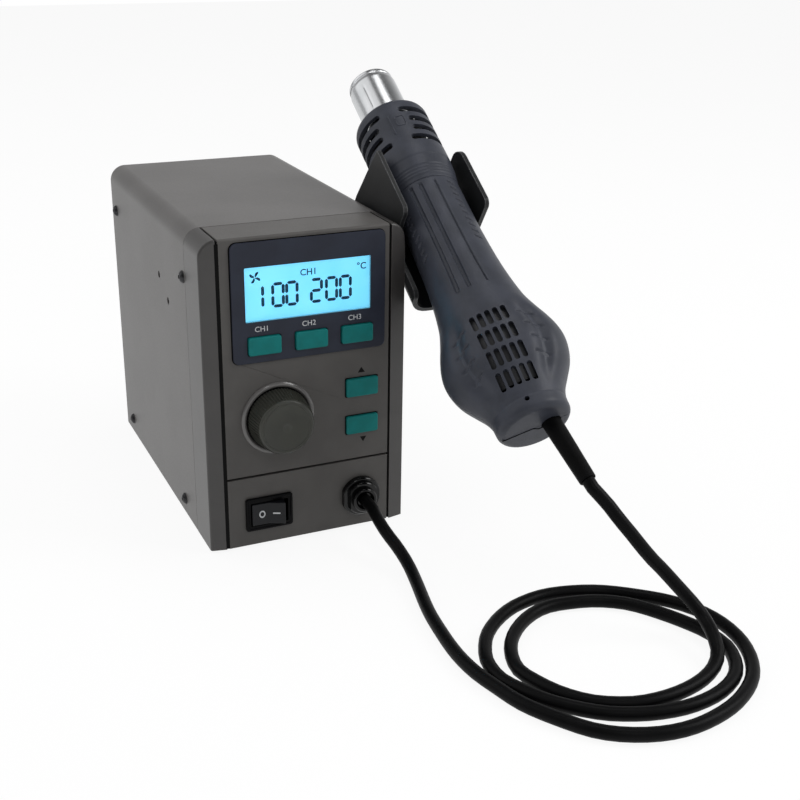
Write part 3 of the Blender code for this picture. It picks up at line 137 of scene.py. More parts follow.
# Camera
def set_camera():
    """The camera fitted to the photo: its turn, rise and roll, its lens and its place."""
    turn = math.radians(-24.865)
    rise = math.radians(22.123)
    roll = math.radians(0.910)
    back = Vector((math.sin(turn) * math.cos(rise), -math.cos(turn) * math.cos(rise), math.sin(rise)))
    right = Vector((math.cos(turn), math.sin(turn), 0))
    up = back.cross(right)
    across = right * math.cos(roll) + up * math.sin(roll)
    upright = up * math.cos(roll) - right * math.sin(roll)
    camera = bpy.data.objects.new("camera", bpy.data.cameras.new("camera"))
    bpy.context.scene.collection.objects.link(camera)
    camera.data.lens = 56.13
    camera.data.clip_start = 0.01
    axes = Matrix((across, upright, back)).transposed().to_4x4()
    place = (-0.21068, -0.532465, 0.28956)
    camera.matrix_world = Matrix.Translation(place) @ axes
    bpy.context.scene.camera = camera


# Shapes
def mesh_from(bm, name):
    """Turns a shape into a mesh, and frees the shape."""
    mesh = bpy.data.meshes.new(name)
    bm.to_mesh(mesh)
    bm.free()
    return mesh


def helper(mesh, name="helper"):
    """Links a mesh or curve to the scene while it is worked on."""
    obj = bpy.data.objects.new(name, mesh)
    bpy.context.scene.collection.objects.link(obj)
    return obj


def settled(obj):
    """The object's mesh with its modifiers applied. The object goes."""
    bpy.context.view_layer.update()
    graph = bpy.context.evaluated_depsgraph_get()
    mesh = bpy.data.meshes.new_from_object(obj.evaluated_get(graph))
    bpy.data.objects.remove(obj, do_unlink=True)
    return mesh


def joined(meshes, matrices=None):
    """One mesh of several, each moved by its matrix where matrices are given."""
    bm = bmesh.new()
    for index, mesh in enumerate(meshes):
        start = len(bm.verts)
        bm.from_mesh(mesh)
        if matrices:
            bm.verts.ensure_lookup_table()
            bmesh.ops.transform(bm, matrix=matrices[index], verts=bm.verts[start:])
    return mesh_from(bm, "joined")


def rounded(left, right, low, high, radius, steps=5):
    """The corner points of a rectangle with round corners, counter-clockwise."""
    points = []
    spots = (
        (right, low, 1, -1, -90), (right, high, 1, 1, 0),
        (left, high, -1, 1, 90), (left, low, -1, -1, 180),
    )
    for x, y, side, level, first in spots:
        for step in range(steps + 1):
            angle = math.radians(first + 90 * step / steps)
            middle = (x - side * radius, y - level * radius)
            points.append((middle[0] + radius * math.cos(angle), middle[1] + radius * math.sin(angle)))
    return points


def prism(points, near, far):
    """A flat outline in X and Z, closed between two places along Y."""
    bm = bmesh.new()
    loops = [[bm.verts.new((x, y, z)) for x, z in points] for y in (near, far)]
    bm.faces.new(loops[0])
    bm.faces.new(loops[1][::-1])
    count = len(points)
    for index in range(count):
        after = (index + 1) % count
        bm.faces.new((loops[0][index], loops[1][index], loops[1][after], loops[0][after]))
    bmesh.ops.recalc_face_normals(bm, faces=bm.faces)
    return mesh_from(bm, "prism")


def stacked(rings):
    """Outlines of equal length, given as (points in X and Z, place along Y), skinned and capped."""
    bm = bmesh.new()
    loops = [[bm.verts.new((x, y, z)) for x, z in points] for points, y in rings]
    count = len(loops[0])
    for first, second in zip(loops, loops[1:]):
        for index in range(count):
            after = (index + 1) % count
            bm.faces.new((first[index], second[index], second[after], first[after]))
    bm.faces.new(loops[0])
    bm.faces.new(loops[-1][::-1])
    bmesh.ops.recalc_face_normals(bm, faces=bm.faces)
    return mesh_from(bm, "stacked")


def turned(profile, steps=96, first=0.0, last=360.0, shape=None):
    """A closed profile of (radius, height) swept round Z. A part turn is closed by two flat faces.
    shape moves a point, given its angle, radius and height."""
    full = last - first > 359.9
    count = steps if full else steps + 1
    bm = bmesh.new()
    columns = []
    for index in range(count):
        angle = math.radians(first + (last - first) * index / steps)
        column = []
        for radius, height in profile:
            spot = (radius * math.sin(angle), -radius * math.cos(angle), height)
            if shape:
                spot = shape(angle, radius, height)
            column.append(bm.verts.new(spot))
        columns.append(column)
    for index in range(steps):
        here = columns[index]
        after = columns[(index + 1) % count]
        for low in range(len(profile)):
            high = (low + 1) % len(profile)
            bm.faces.new((here[low], here[high], after[high], after[low]))
    if not full:
        bm.faces.new(columns[0])
        bm.faces.new(columns[-1][::-1])
    bmesh.ops.remove_doubles(bm, verts=bm.verts, dist=0.0005)
    bmesh.ops.dissolve_degenerate(bm, edges=bm.edges, dist=0.0001)
    bmesh.ops.recalc_face_normals(bm, faces=bm.faces)
    return mesh_from(bm, "turned")


def softened_corners(profile, radius, steps=4):
    """A closed profile whose corners are rounded, apart from those on the axis."""
    points = []
    count = len(profile)
    for index, spot in enumerate(profile):
        here = Vector(spot)
        before = Vector(profile[index - 1]) - here
        after = Vector(profile[(index + 1) % count]) - here
        reach = min(radius, before.length * 0.45, after.length * 0.45)
        if here.x < 0.001:
            points.append(tuple(here))
            continue
        start = here + before.normalized() * reach
        end = here + after.normalized() * reach
        for step in range(steps + 1):
            t = step / steps
            points.append(tuple(start * (1 - t) ** 2 + here * 2 * t * (1 - t) + end * t ** 2))
    return points


def box_shape(low, high):
    """A box between two opposite corners."""
    low = Vector(low)
    high = Vector(high)
    bm = bmesh.new()
    size = Matrix.Diagonal((*(high - low), 1))
    bmesh.ops.create_cube(bm, size=1, matrix=Matrix.Translation((low + high) / 2) @ size)
    return mesh_from(bm, "box")


def rod(start, end, radius, sides=32):
    """A cylinder with flat ends, from one point to another."""
    start = Vector(start)
    end = Vector(end)
    along = end - start
    turn = along.to_track_quat("Z", "Y").to_matrix().to_4x4()
    bm = bmesh.new()
    bmesh.ops.create_cone(
        bm, cap_ends=True, segments=sides, radius1=radius, radius2=radius, depth=along.length,
        matrix=Matrix.Translation((start + end) / 2) @ turn,
    )
    return mesh_from(bm, "rod")


def carved(mesh, cutters, operation="DIFFERENCE", solver="EXACT"):
    """The mesh less its cutters, or with them added."""
    obj = helper(mesh)
    tools = []
    for cutter in cutters:
        tool = helper(cutter, "cutter")
        tools.append(tool)
        modifier = obj.modifiers.new("Cut", "BOOLEAN")
        modifier.operation = operation
        modifier.solver = solver
        modifier.object = tool
    result = settled(obj)
    for tool in tools:
        bpy.data.objects.remove(tool, do_unlink=True)
    return result


def eased(mesh, width, segments=2, angle=35.0):
    """The mesh with its sharp edges rounded."""
    obj = helper(mesh)
    bevel = obj.modifiers.new("Edges", "BEVEL")
    bevel.width = width
    bevel.segments = segments
    bevel.limit_method = "ANGLE"
    bevel.angle_limit = math.radians(angle)
    bevel.miter_outer = "MITER_ARC"
    return settled(obj)


def outward(mesh):
    """The mesh with its faces turned outwards."""
    bm = bmesh.new()
    bm.from_mesh(mesh)
    bmesh.ops.recalc_face_normals(bm, faces=bm.faces)
    return mesh_from(bm, "outward")


def smoothed(mesh, angle=32.0):
    """Shades a mesh smooth, but sharp at edges steeper than the angle."""
    for polygon in mesh.polygons:
        polygon.use_smooth = True
    mesh.set_sharp_from_angle(angle=math.radians(angle))


def put(name, mesh, body, finish, nodes=(), where=None, angle=32.0):
    """A finished piece: its place goes into its mesh, and it rides on its body."""
    mesh.transform(CASE if where is None else where)
    smoothed(mesh, angle)
    mesh.materials.clear()
    mesh.materials.append(finish)
    shaded = helper(mesh)
    even = shaded.modifiers.new("Flat faces stay flat", "WEIGHTED_NORMAL")
    even.keep_sharp = True
    even.weight = 100
    obj = bpy.data.objects.new(name, settled(shaded))
    bpy.context.scene.collection.objects.link(obj)
    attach(obj, body)
    if nodes:
        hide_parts(*nodes)
    return obj


def flattened(obj):
    """Large faces along an axis take that axis as their normal at every corner, and so shade flat."""
    mesh = obj.data
    normals = [corner.vector.copy() for corner in mesh.corner_normals]
    for face in mesh.polygons:
        true = Vector([round(part) for part in face.normal])
        if face.area > 2e-6 and face.normal.dot(true) > 0.999:
            face.use_smooth = False
            for index in face.loop_indices:
                normals[index] = true
    mesh.normals_split_custom_set(normals)
    return obj


def solid(node):
    """A solid's own shape in the case's frame, merged and cleaned."""
    bm = bmesh.new()
    bm.from_mesh(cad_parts[node].data)
    bmesh.ops.transform(bm, matrix=CASE.inverted(), verts=bm.verts)
    bmesh.ops.remove_doubles(bm, verts=bm.verts, dist=0.002)
    bmesh.ops.dissolve_limit(bm, angle_limit=math.radians(0.6), verts=bm.verts, edges=bm.edges)
    return mesh_from(bm, node)


def from_solid(node, width, finish, body="station", segments=2, angle=35.0):
    """A solid's own shape with its sharp edges rounded."""
    return put(node + "_body", eased(solid(node), width, segments, angle), body, finish, [node])


def lettering(text, size, x, z, y, bold=0.0):
    """Plain letters as a flat mesh facing the front, centred on a spot."""
    curve = bpy.data.curves.new("letters", "FONT")
    curve.body = text
    curve.size = size
    curve.align_x = "CENTER"
    curve.align_y = "CENTER"
    curve.offset = bold
    curve.extrude = 0.01
    curve.resolution_u = 4
    mesh = settled(helper(curve))
    mesh.transform(Matrix.Translation((x, y, z)) @ FACE_FRONT)
    return mesh


# Materials
def colour(code):
    """The linear values of a colour that is written in hexadecimal."""
    channels = []
    for start in (0, 2, 4):
        level = int(code[start : start + 2], 16) / 255
        channels.append(level / 12.92 if level <= 0.04045 else ((level + 0.055) / 1.055) ** 2.4)
    return (*channels, 1)


def add(tree, kind, settings=None, links=None):
    """One node with its settings, its values and its links."""
    node = tree.nodes.new(kind)
    for key, value in (settings or {}).items():
        if isinstance(key, str) and hasattr(node, key):
            setattr(node, key, value)
        else:
            node.inputs[key].default_value = value
    for key, output in (links or {}).items():
        tree.links.new(output, node.inputs[key])
    return node


def blank(name):
    """A new material with its node tree and its shader."""
    material = bpy.data.materials.new(name)
    material.use_nodes = True
    tree = material.node_tree
    shader = tree.nodes["Principled BSDF"]
    return material, tree, shader


def clouded(tree, shader, base, shade, place, size, low=0.4, high=0.6):
    """The colour drifts between two tones over patches of a size in metres."""
    noise = add(tree, "ShaderNodeTexNoise", {"Scale": 1 / size, "Detail": 3.0}, {"Vector": place})
    ramp = add(tree, "ShaderNodeMapRange", {"From Min": low, "From Max": high}, {
        "Value": noise.outputs["Fac"],
    })
    mix = add(tree, "ShaderNodeMix", {"data_type": "RGBA"}, {0: ramp.outputs["Result"]})
    mix.inputs[6].default_value = colour(base)
    mix.inputs[7].default_value = colour(shade)
    tree.links.new(mix.outputs[2], shader.inputs["Base Color"])
    return mix


def grained(tree, shader, place, size, height, rough, spread):
    """A fine grain: small bumps of a height in metres, and gloss that varies with them."""
    fine = add(tree, "ShaderNodeTexNoise", {"Scale": 1 / size, "Detail": 2.0}, {"Vector": place})
    bump = add(tree, "ShaderNodeBump", {"Strength": 1.0, "Distance": height}, {"Height": fine.outputs["Fac"]})
    tree.links.new(bump.outputs["Normal"], shader.inputs["Normal"])
    gloss = add(
        tree, "ShaderNodeMapRange", {"To Min": rough - spread, "To Max": rough + spread},
        {"Value": fine.outputs["Fac"]},
    )
    tree.links.new(gloss.outputs["Result"], shader.inputs["Roughness"])
    return bump


def moulded(name, base, shade, rough=0.5, spread=0.1, grain=0.6, height=0.02, cloud=14.0, shine=0.5):
    """Injection-moulded plastic or rubber with a spark-eroded grain."""
    material, tree, shader = blank(name)
    place = add(tree, "ShaderNodeTexCoord").outputs["Object"]
    clouded(tree, shader, base, shade, place, cloud * MM)
    grained(tree, shader, place, grain * MM, height * MM, rough, spread)
    shader.inputs["Specular IOR Level"].default_value = shine
    return material


def worn_and_highlit_edges(material, tone, radius, share):
    """Edges worn to a lighter tone over a radius in metres, in broken patches: wear, and a painted highlight
    along the edges.
    """
    tree = material.node_tree
    shader = tree.nodes["Principled BSDF"]
    place = add(tree, "ShaderNodeTexCoord").outputs["Object"]
    rounded_off = add(tree, "ShaderNodeBevel", {"samples": 6, "Radius": radius})
    true = add(tree, "ShaderNodeNewGeometry")
    same = add(tree, "ShaderNodeVectorMath", {"operation": "DOT_PRODUCT"}, {
        0: rounded_off.outputs["Normal"], 1: true.outputs["Normal"],
    })
    patches = add(tree, "ShaderNodeTexNoise", {"Scale": 1 / 0.006, "Detail": 4.0}, {"Vector": place})
    span = {"From Min": 0.35, "From Max": 0.65, "To Min": share * 0.35, "To Max": share}
    reach = add(tree, "ShaderNodeMapRange", span, {"Value": patches.outputs["Fac"]})
    edge = add(tree, "ShaderNodeMapRange", {"From Min": 0.99, "From Max": 0.9}, {
        "Value": same.outputs["Value"], "To Max": reach.outputs["Result"],
    })
    base = shader.inputs["Base Color"].links[0].from_socket
    mix = add(tree, "ShaderNodeMix", {"data_type": "RGBA"}, {0: edge.outputs["Result"], 6: base})
    mix.inputs[7].default_value = colour(tone)
    tree.links.new(mix.outputs[2], shader.inputs["Base Color"])
    return material


def make_finishes():
    """The materials, by the short names that the pieces use."""
    finishes = {}

    # Powder coat on steel: a satin film with a faint orange peel of about 1 mm
    material, tree, shader = blank("powder_coated_steel")
    place = add(tree, "ShaderNodeTexCoord").outputs["Object"]
    clouded(tree, shader, "676564", "62605f", place, 0.04)
    grained(tree, shader, place, 0.0009, 0.000016, 0.4, 0.06)
    shader.inputs["Specular IOR Level"].default_value = 0.32
    # Its edges turn lighter: wear, and a painted highlight
    finishes["paint"] = worn_and_highlit_edges(material, "8b8886", 0.0007, 0.5)

    # Satin moulded ABS of the front, in the same grey but darker
    front = moulded("moulded_warm_grey_abs", "595755", "555351", 0.44, 0.07, 0.55, 0.012, shine=0.35)
    # Its edges turn lighter: wear, and a painted highlight
    finishes["front"] = worn_and_highlit_edges(front, "7d7a77", 0.0006, 0.5)
    # The frame round it is drawn darker than the front, and glossier, so that it is bright where it is seen
    # at a slant
    frame_look = moulded("moulded_glossy_grey_abs", "3b3938", "373534", 0.38, 0.06, 0.55, 0.01, shine=0.6)
    # Its edges turn lighter: wear, and a painted highlight
    finishes["frame"] = worn_and_highlit_edges(frame_look, "7d7a77", 0.0006, 0.5)
    # The raised lip round the knob is polished, and drawn lighter than the front's grey as a painted
    # highlight from the light above
    finishes["lip"] = moulded("polished_grey_abs_painted_highlight", "6b6967", "636160", 0.2, 0.03, 0.55, 0.003, shine=0.7)
    # The bezel is a smooth blue-black moulding that catches a soft sheen
    finishes["bezel"] = moulded(
        "moulded_blue_black_abs", "2b303e", "272b38", 0.36, 0.06, 0.5, 0.006, shine=0.25,
    )
    # Painted shade: black pieces laid into gaps, grooves and recesses where shade falls, and also the dark
    # seam line on the grip
    finishes["shadow"] = moulded("black_painted_shade_and_seam", "050505", "030303", 0.6, 0.08, 0.6, 0.01, shine=0.1)
    # Teal silicone rubber keys: matt, with a soft bloom over patches of a few millimetres
    finishes["keys"] = moulded("moulded_teal_silicone", "0e7e7c", "0d7775", 0.46, 0.07, 0.5, 0.008, 6.0, 0.22)
    # Olive grey knob, a soft-touch ABS
    finishes["knob"] = moulded(
        "moulded_olive_grey_abs", "3f403a", "3b3c37", 0.36, 0.05, 0.5, 0.006, 9.0, 0.35,
    )
    # The handle's glass-filled nylon has a coarse matt grain and a blue tone
    handle = moulded("moulded_slate_nylon", "40434d", "393c45", 0.46, 0.1, 0.65, 0.022, 10.0, 0.3)
    # Its edges turn lighter: wear, and a painted highlight
    finishes["handle"] = worn_and_highlit_edges(handle, "565a64", 0.0005, 0.45)
    finishes["switch"] = moulded("moulded_black_nylon", "0a0a0c", "080809", 0.3, 0.06, 0.5, 0.006, shine=0.07)
    finishes["rocker"] = moulded(
        "moulded_satin_black_nylon", "15161a", "121317", 0.35, 0.06, 0.5, 0.006, shine=0.25,
    )
    finishes["gland"] = moulded("polished_black_nylon", "080809", "060607", 0.1, 0.03, 1.2, 0.006, shine=0.3)
    finishes["rubber"] = moulded("moulded_black_rubber", "0f0f10", "0b0b0b", 0.7, 0.1, 0.6, 0.02, shine=0.12)
    finishes["boot"] = moulded(
        "moulded_soft_black_rubber", "0a0a0b", "080808", 0.5, 0.1, 0.5, 0.015, shine=0.07,
    )
    finishes["white"] = moulded("pad_printed_white_ink", "e4e6e8", "d6d9dc", 0.5, 0.05, 0.4, 0.003, 2.0)
    finishes["mark"] = moulded("pad_printed_black_ink", "0c0c0c", "090909", 0.6, 0.05, 0.4, 0.003, 2.0, 0.1)
    finishes["board"] = moulded("green_solder_mask", "1d6b3a", "185a31", 0.35, 0.08, 0.8, 0.01, 6.0)
    finishes["resin"] = moulded("moulded_black_epoxy", "1a1a1c", "161617", 0.45, 0.08, 0.4, 0.01, 3.0)
    finishes["sleeve"] = moulded("heat_shrunk_blue_vinyl", "23355f", "1e2d52", 0.35, 0.05, 1.0, 0.01, 6.0)
    finishes["tape"] = moulded("yellow_polyester_tape", "c9a227", "b8921f", 0.35, 0.08, 1.5, 0.02, 4.0)
    finishes["impeller"] = moulded("moulded_charcoal_abs", "26272a", "212225", 0.45, 0.08, 0.5, 0.01)
    finishes["ceramic"] = moulded("fired_cordierite", "d8d2c4", "c2baa8", 0.8, 0.08, 0.7, 0.05, 4.0)
    finishes["mica"] = moulded("pressed_mica", "b59a62", "9c8350", 0.35, 0.12, 1.5, 0.03, 3.0)
    # Charcoal paint on bent sheet, pale along its cut edges: rubbed wear, and a painted highlight where the
    # edges catch the light
    holder = moulded("powder_coated_charcoal_steel", "292a2b", "242526", 0.36, 0.06, 0.9, 0.014, 20.0, 0.3)
    finishes["holder"] = worn_and_highlit_edges(holder, "77787a", 0.0009, 0.8)

    # Drawn stainless steel, softly clouded and almost smooth
    material, tree, shader = blank("drawn_stainless_steel")
    place = add(tree, "ShaderNodeTexCoord").outputs["Object"]
    clouded(tree, shader, "d2d3d5", "c6c8ca", place, 0.02)
    grained(tree, shader, place, 0.0005, 0.0000015, 0.26, 0.03)
    shader.inputs["Metallic"].default_value = 1.0
    finishes["steel"] = material

    # Zinc plating on steel: bright with soft grey spangle
    material, tree, shader = blank("zinc_plated_steel")
    place = add(tree, "ShaderNodeTexCoord").outputs["Object"]
    cells = add(tree, "ShaderNodeTexVoronoi", {"Scale": 260.0}, {"Vector": place})
    mix = add(tree, "ShaderNodeMix", {"data_type": "RGBA"}, {0: cells.outputs["Distance"]})
    mix.inputs[6].default_value = colour("9c9ea0")
    mix.inputs[7].default_value = colour("939698")
    tree.links.new(mix.outputs[2], shader.inputs["Base Color"])
    grained(tree, shader, place, 0.0012, 0.00001, 0.36, 0.08)
    shader.inputs["Metallic"].default_value = 1.0
    finishes["zinc"] = material

    # Blackened steel screws, a little worn
    material, tree, shader = blank("blackened_steel")
    place = add(tree, "ShaderNodeTexCoord").outputs["Object"]
    clouded(tree, shader, "2b2b2d", "3a3a3c", place, 0.0018)
    grained(tree, shader, place, 0.0006, 0.00001, 0.34, 0.08)
    shader.inputs["Metallic"].default_value = 0.8
    finishes["screw"] = material

    # Clear acrylic window
    material, tree, shader = blank("polished_clear_acrylic")
    place = add(tree, "ShaderNodeTexCoord").outputs["Object"]
    haze = add(tree, "ShaderNodeTexNoise", {"Scale": 900.0}, {"Vector": place})
    gloss = add(tree, "ShaderNodeMapRange", {"To Min": 0.02, "To Max": 0.07}, {"Value": haze.outputs["Fac"]})
    tree.links.new(gloss.outputs["Result"], shader.inputs["Roughness"])
    shader.inputs["Base Color"].default_value = colour("f4fbff")
    shader.inputs["Transmission Weight"].default_value = 1.0
    # A coating keeps its reflections faint, as a low index does
    shader.inputs["IOR"].default_value = 1.18
    finishes["clear"] = material

    # Backlit liquid crystal glass: light blue that drifts very slightly
    material, tree, shader = blank("backlit_liquid_crystal_glass")
    place = add(tree, "ShaderNodeTexCoord").outputs["Object"]
    mix = clouded(tree, shader, "7fdcfb", "74d4f7", place, 0.02)
    tree.links.new(mix.outputs[2], shader.inputs["Emission Color"])
    shader.inputs["Emission Strength"].default_value = 0.68
    shader.inputs["Roughness"].default_value = 0.3
    finishes["lit"] = material
    finishes["segment"] = moulded(
        "liquid_crystal_segment", "0d4460", "0b3c56", 0.4, 0.03, 0.5, 0.001, 2.0, 0.05,
    )
    return finishes


# Patterns made by nodes
def copies_tree():
    """Copies of one piece on the points of a mesh, turned by each point's own angles."""
    tree = bpy.data.node_groups.new("copies_on_points", "GeometryNodeTree")
    sockets = (("Geometry", "Geometry"), ("Piece", "Object"), ("Size", "Float"), ("Finish", "Material"))
    for name, kind in sockets:
        tree.interface.new_socket(name, in_out="INPUT", socket_type="NodeSocket" + kind)
    tree.interface.new_socket("Geometry", in_out="OUTPUT", socket_type="NodeSocketGeometry")
    given = tree.nodes.new("NodeGroupInput")
    result = tree.nodes.new("NodeGroupOutput")
    info = add(tree, "GeometryNodeObjectInfo", {"As Instance": True}, {"Object": given.outputs["Piece"]})
    facing = add(tree, "GeometryNodeInputNamedAttribute", {"data_type": "FLOAT_VECTOR", "Name": "facing"})
    spread = add(tree, "GeometryNodeInstanceOnPoints", None, {
        "Points": given.outputs["Geometry"],
        "Instance": info.outputs["Geometry"],
        "Rotation": facing.outputs["Attribute"],
        "Scale": given.outputs["Size"],
    })
    real = add(tree, "GeometryNodeRealizeInstances", None, {"Geometry": spread.outputs["Instances"]})
    finish = add(tree, "GeometryNodeSetMaterial", None, {
        "Geometry": real.outputs["Geometry"], "Material": given.outputs["Finish"],
    })
    tree.links.new(finish.outputs["Geometry"], result.inputs["Geometry"])
    return tree


def repeated(tree, shape, spots, finish, size=1.0):
    """The shape on each of the spots, which are (place, turn as angles)."""
    piece = helper(shape, "pattern_piece")
    points = bpy.data.meshes.new("pattern_points")
    points.from_pydata([tuple(place) for place, turn in spots], [], [])
    facing = points.attributes.new("facing", "FLOAT_VECTOR", "POINT")
    for index, (place, turn) in enumerate(spots):
        facing.data[index].vector = turn
    obj = helper(points)
    pattern = obj.modifiers.new("Copies", "NODES")
    pattern.node_group = tree
    values = {"Piece": piece, "Size": size, "Finish": finish}
    for item in tree.interface.items_tree:
        if item.in_out == "INPUT" and item.name in values:
            pattern[item.identifier] = values[item.name]
    mesh = settled(obj)
    bpy.data.objects.remove(piece, do_unlink=True)
    return mesh


# Cord
def smooth_route(points, step):
    """Points at even steps along a smooth curve through the route."""
    points = [Vector(point) for point in points]
    ends = [2 * points[0] - points[1]] + points + [2 * points[-1] - points[-2]]
    fine = []
    for index in range(len(points) - 1):
        a, b, c, d = ends[index : index + 4]
        for part in range(12):
            t = part / 12
            fine.append(0.5 * (2 * b + (c - a) * t + (2 * a - 5 * b + 4 * c - d) * t ** 2
                               + (3 * b - a - 3 * c + d) * t ** 3))
    fine.append(points[-1])
    length = sum((b - a).length for a, b in zip(fine, fine[1:]))
    count = round(length / step)
    even = [fine[0]]
    walked = 0.0
    for a, b in zip(fine, fine[1:]):
        span = (b - a).length
        while len(even) < count and walked + span >= length * len(even) / count:
            even.append(a.lerp(b, (length * len(even) / count - walked) / span))
        walked += span
    return even + [fine[-1]]


def boot_point(distance):
    """A point on the boot's slanted axis, this far out from the shell's end."""
    return Vector((7 + distance * math.sin(BOOT_SLANT), 1, SHELL_END - distance * math.cos(BOOT_SLANT)))


def tube_along(path, radius, sides=20):
    """A round tube with its own map: one turn across and millimetres along."""
    bm = bmesh.new()
    layer = bm.loops.layers.uv.new("jacket")
    up = Vector((0, 0, 1))
    rings = []
    lengths = [0.0]
    for a, b in zip(path, path[1:]):
        lengths.append(lengths[-1] + (b - a).length)
    side = None
    for index, point in enumerate(path):
        along = (path[min(index + 1, len(path) - 1)] - path[max(index - 1, 0)]).normalized()
        side = (side if side else along.cross(up)).normalized()
        side = (side - along * side.dot(along)).normalized()
        other = along.cross(side)
        ring = []
        for step in range(sides):
            angle = 2 * math.pi * step / sides
            ring.append(bm.verts.new(point + (side * math.cos(angle) + other * math.sin(angle)) * radius))
        rings.append(ring)
    for index, (first, second) in enumerate(zip(rings, rings[1:])):
        for step in range(sides):
            after = (step + 1) % sides
            face = bm.faces.new((first[step], first[after], second[after], second[step]))
            corners = ((step, index), (step + 1, index), (step + 1, index + 1), (step, index + 1))
            for loop, (turn, row) in zip(face.loops, corners):
                loop[layer].uv = (turn / sides, lengths[row])
    bm.faces.new(rings[0])
    bm.faces.new(rings[-1][::-1])
    bmesh.ops.recalc_face_normals(bm, faces=bm.faces)
    return mesh_from(bm, "tube")


def make_cord():
    """A silicone jacket: satin black, with a gloss that drifts along it."""
    material, tree, shader = blank("extruded_black_silicone")
    place = add(tree, "ShaderNodeUVMap", {"uv_map": "jacket"}).outputs["UV"]
    wave = add(tree, "ShaderNodeTexNoise", {"Scale": 0.05, "Detail": 2.0}, {"Vector": place})
    near = add(tree, "ShaderNodeTexCoord").outputs["Object"]
    clouded(tree, shader, "0c0c0d", "080809", near, 0.01)
    grained(tree, shader, near, 0.0007, 0.00001, 0.4, 0.08)
    gloss = add(tree, "ShaderNodeMapRange", {"To Min": 0.34, "To Max": 0.5}, {"Value": wave.outputs["Fac"]})
    tree.links.new(gloss.outputs["Result"], shader.inputs["Roughness"])
    shader.inputs["Specular IOR Level"].default_value = 0.09
    to_case = CASE.inverted() @ HANDLE
    before_last, last = (to_case @ boot_point(BOOT_LENGTH + gap) for gap in (4, 0.3))
    floor = [(x, y, CORD_RADIUS + 0.1) for x, y in CORD_FLOOR]
    start = [Vector((26, FRONT - 5.4, 17.4)), Vector((26, FRONT - 8.3, 17.4))]
    route = smooth_route(CORD_RISE_START + floor + CORD_RISE_END + [before_last], 5.0)
    inside = to_case @ boot_point(BOOT_LENGTH - 3)
    path = [CASE @ Vector(point) for point in start + route + [last, inside]]
    mesh = tube_along(path, CORD_RADIUS * MM)
    mesh.materials.append(material)
    smoothed(mesh, 50)
    obj = bpy.data.objects.new("cord_jacket", mesh)
    bpy.context.scene.collection.objects.link(obj)
    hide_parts("handle_cord")
    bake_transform(obj)


set_camera()
make_cord()
FINISHES = make_finishes()
COPIES = copies_tree()


# Case
def make_cover():
    """A sheet bent over two corners, with its screw holes."""
    path = [(-HALF_WIDTH, BASE)]
    for side in (-1, 1):
        for step in range(17):
            angle = math.radians(90 * step / 16)
            angle = math.pi / 2 - angle if side > 0 else angle
            x = side * (HALF_WIDTH - CORNER + CORNER * math.cos(angle))
            path.append((x, TOP - CORNER + CORNER * math.sin(angle)))
    path.append((HALF_WIDTH, BASE))
    inner = []
    for x, z in path:
        side = -1 if x < 0 else 1
        rise = min(max(z - (TOP - CORNER), 0) / CORNER, 1)
        run = min(max(abs(x) - (HALF_WIDTH - CORNER), 0) / CORNER, 1)
        inner.append((x - side * SHEET * run, z - SHEET * rise))
    mesh = prism(path + inner[::-1], SEAM + 0.3, BACK)
    holes = []
    for side in (-1, 1):
        for y, z in SIDE_SCREWS + HOLDER_SCREWS:
            holes.append(rod((side * 44, y, z), (side * 54, y, z), 1.7))
    mesh = eased(carved(mesh, [joined(holes)]), 0.3)
    put("bent_cover", mesh, "station", FINISHES["paint"], ["case_cover"])


def screw_shape():
    """A domed head with a hexagon socket, pointing up Z from its seat."""
    head = softened_corners([(0, 1.75), (1.6, 1.6), (2.5, 0.95), (3, 0), (0, 0)], 0.15)
    mesh = turned(head, 24)
    socket = rod((0, 0, 0.6), (0, 0, 3), 1.15, 6)
    shank = turned([(0, 0.2), (1.4, 0.2), (1.4, -5), (1.1, -5.6), (0, -5.6)], 16)
    return joined([eased(carved(mesh, [socket]), 0.08, 1), shank])


def make_screws():
    """The case's eight screws and the holder's two, as copies of one screw."""
    spots = []
    for side in (-1, 1):
        for y, z in SIDE_SCREWS:
            spots.append(((side * (HALF_WIDTH + 0.05), y, z), (0, side * math.pi / 2, 0)))
    nodes = [f"case_screw_{number}" for number in range(1, 9)]
    mesh = repeated(COPIES, screw_shape(), spots, FINISHES["screw"])
    put("case_screws", mesh, "station", FINISHES["screw"], nodes)
    spots = [((HALF_WIDTH + 2.6, y, z), (0, math.pi / 2, 0)) for y, z in HOLDER_SCREWS]
    mesh = repeated(COPIES, screw_shape(), spots, FINISHES["screw"])
    nodes = ["holder_screw_1", "holder_screw_2"]
    put("holder_screws", mesh, "station", FINISHES["screw"], nodes)


def make_feet():
    """A round rubber foot with a stem that snaps into the tray."""
    seat = BASE - 0.3
    catch = BASE + SHEET + 0.3
    profile = [
        (0, catch + 1.9), (2.4, catch + 1.9), (3.2, catch + 0.9), (3.2, catch), (2, catch),
        (2, seat), (7.5, seat), (7.3, 0), (0, 0),
    ]
    foot = turned(softened_corners(profile, 0.4), 40)
    mesh = repeated(COPIES, foot, [((x, y, 0), (0, 0, 0)) for x, y in FEET], FINISHES["rubber"])
    nodes = [f"foot_{number}" for number in range(1, 5)]
    put("rubber_feet", mesh, "station", FINISHES["rubber"], nodes)


def rolled(mesh, width, wanted, segments=6):
    """The mesh with a wide radius on the edges that wanted picks by their faces and their middle."""
    bm = bmesh.new()
    bm.from_mesh(mesh)
    weight = bm.edges.layers.float.new("bevel_weight_edge")
    for edge in bm.edges:
        middle = (edge.verts[0].co + edge.verts[1].co) / 2
        if len(edge.link_faces) == 2 and wanted(edge, middle):
            edge[weight] = 1
    obj = helper(mesh_from(bm, "rolled"))
    bevel = obj.modifiers.new("Wide edges", "BEVEL")
    bevel.limit_method = "WEIGHT"
    bevel.width = width
    bevel.segments = segments
    return settled(obj)


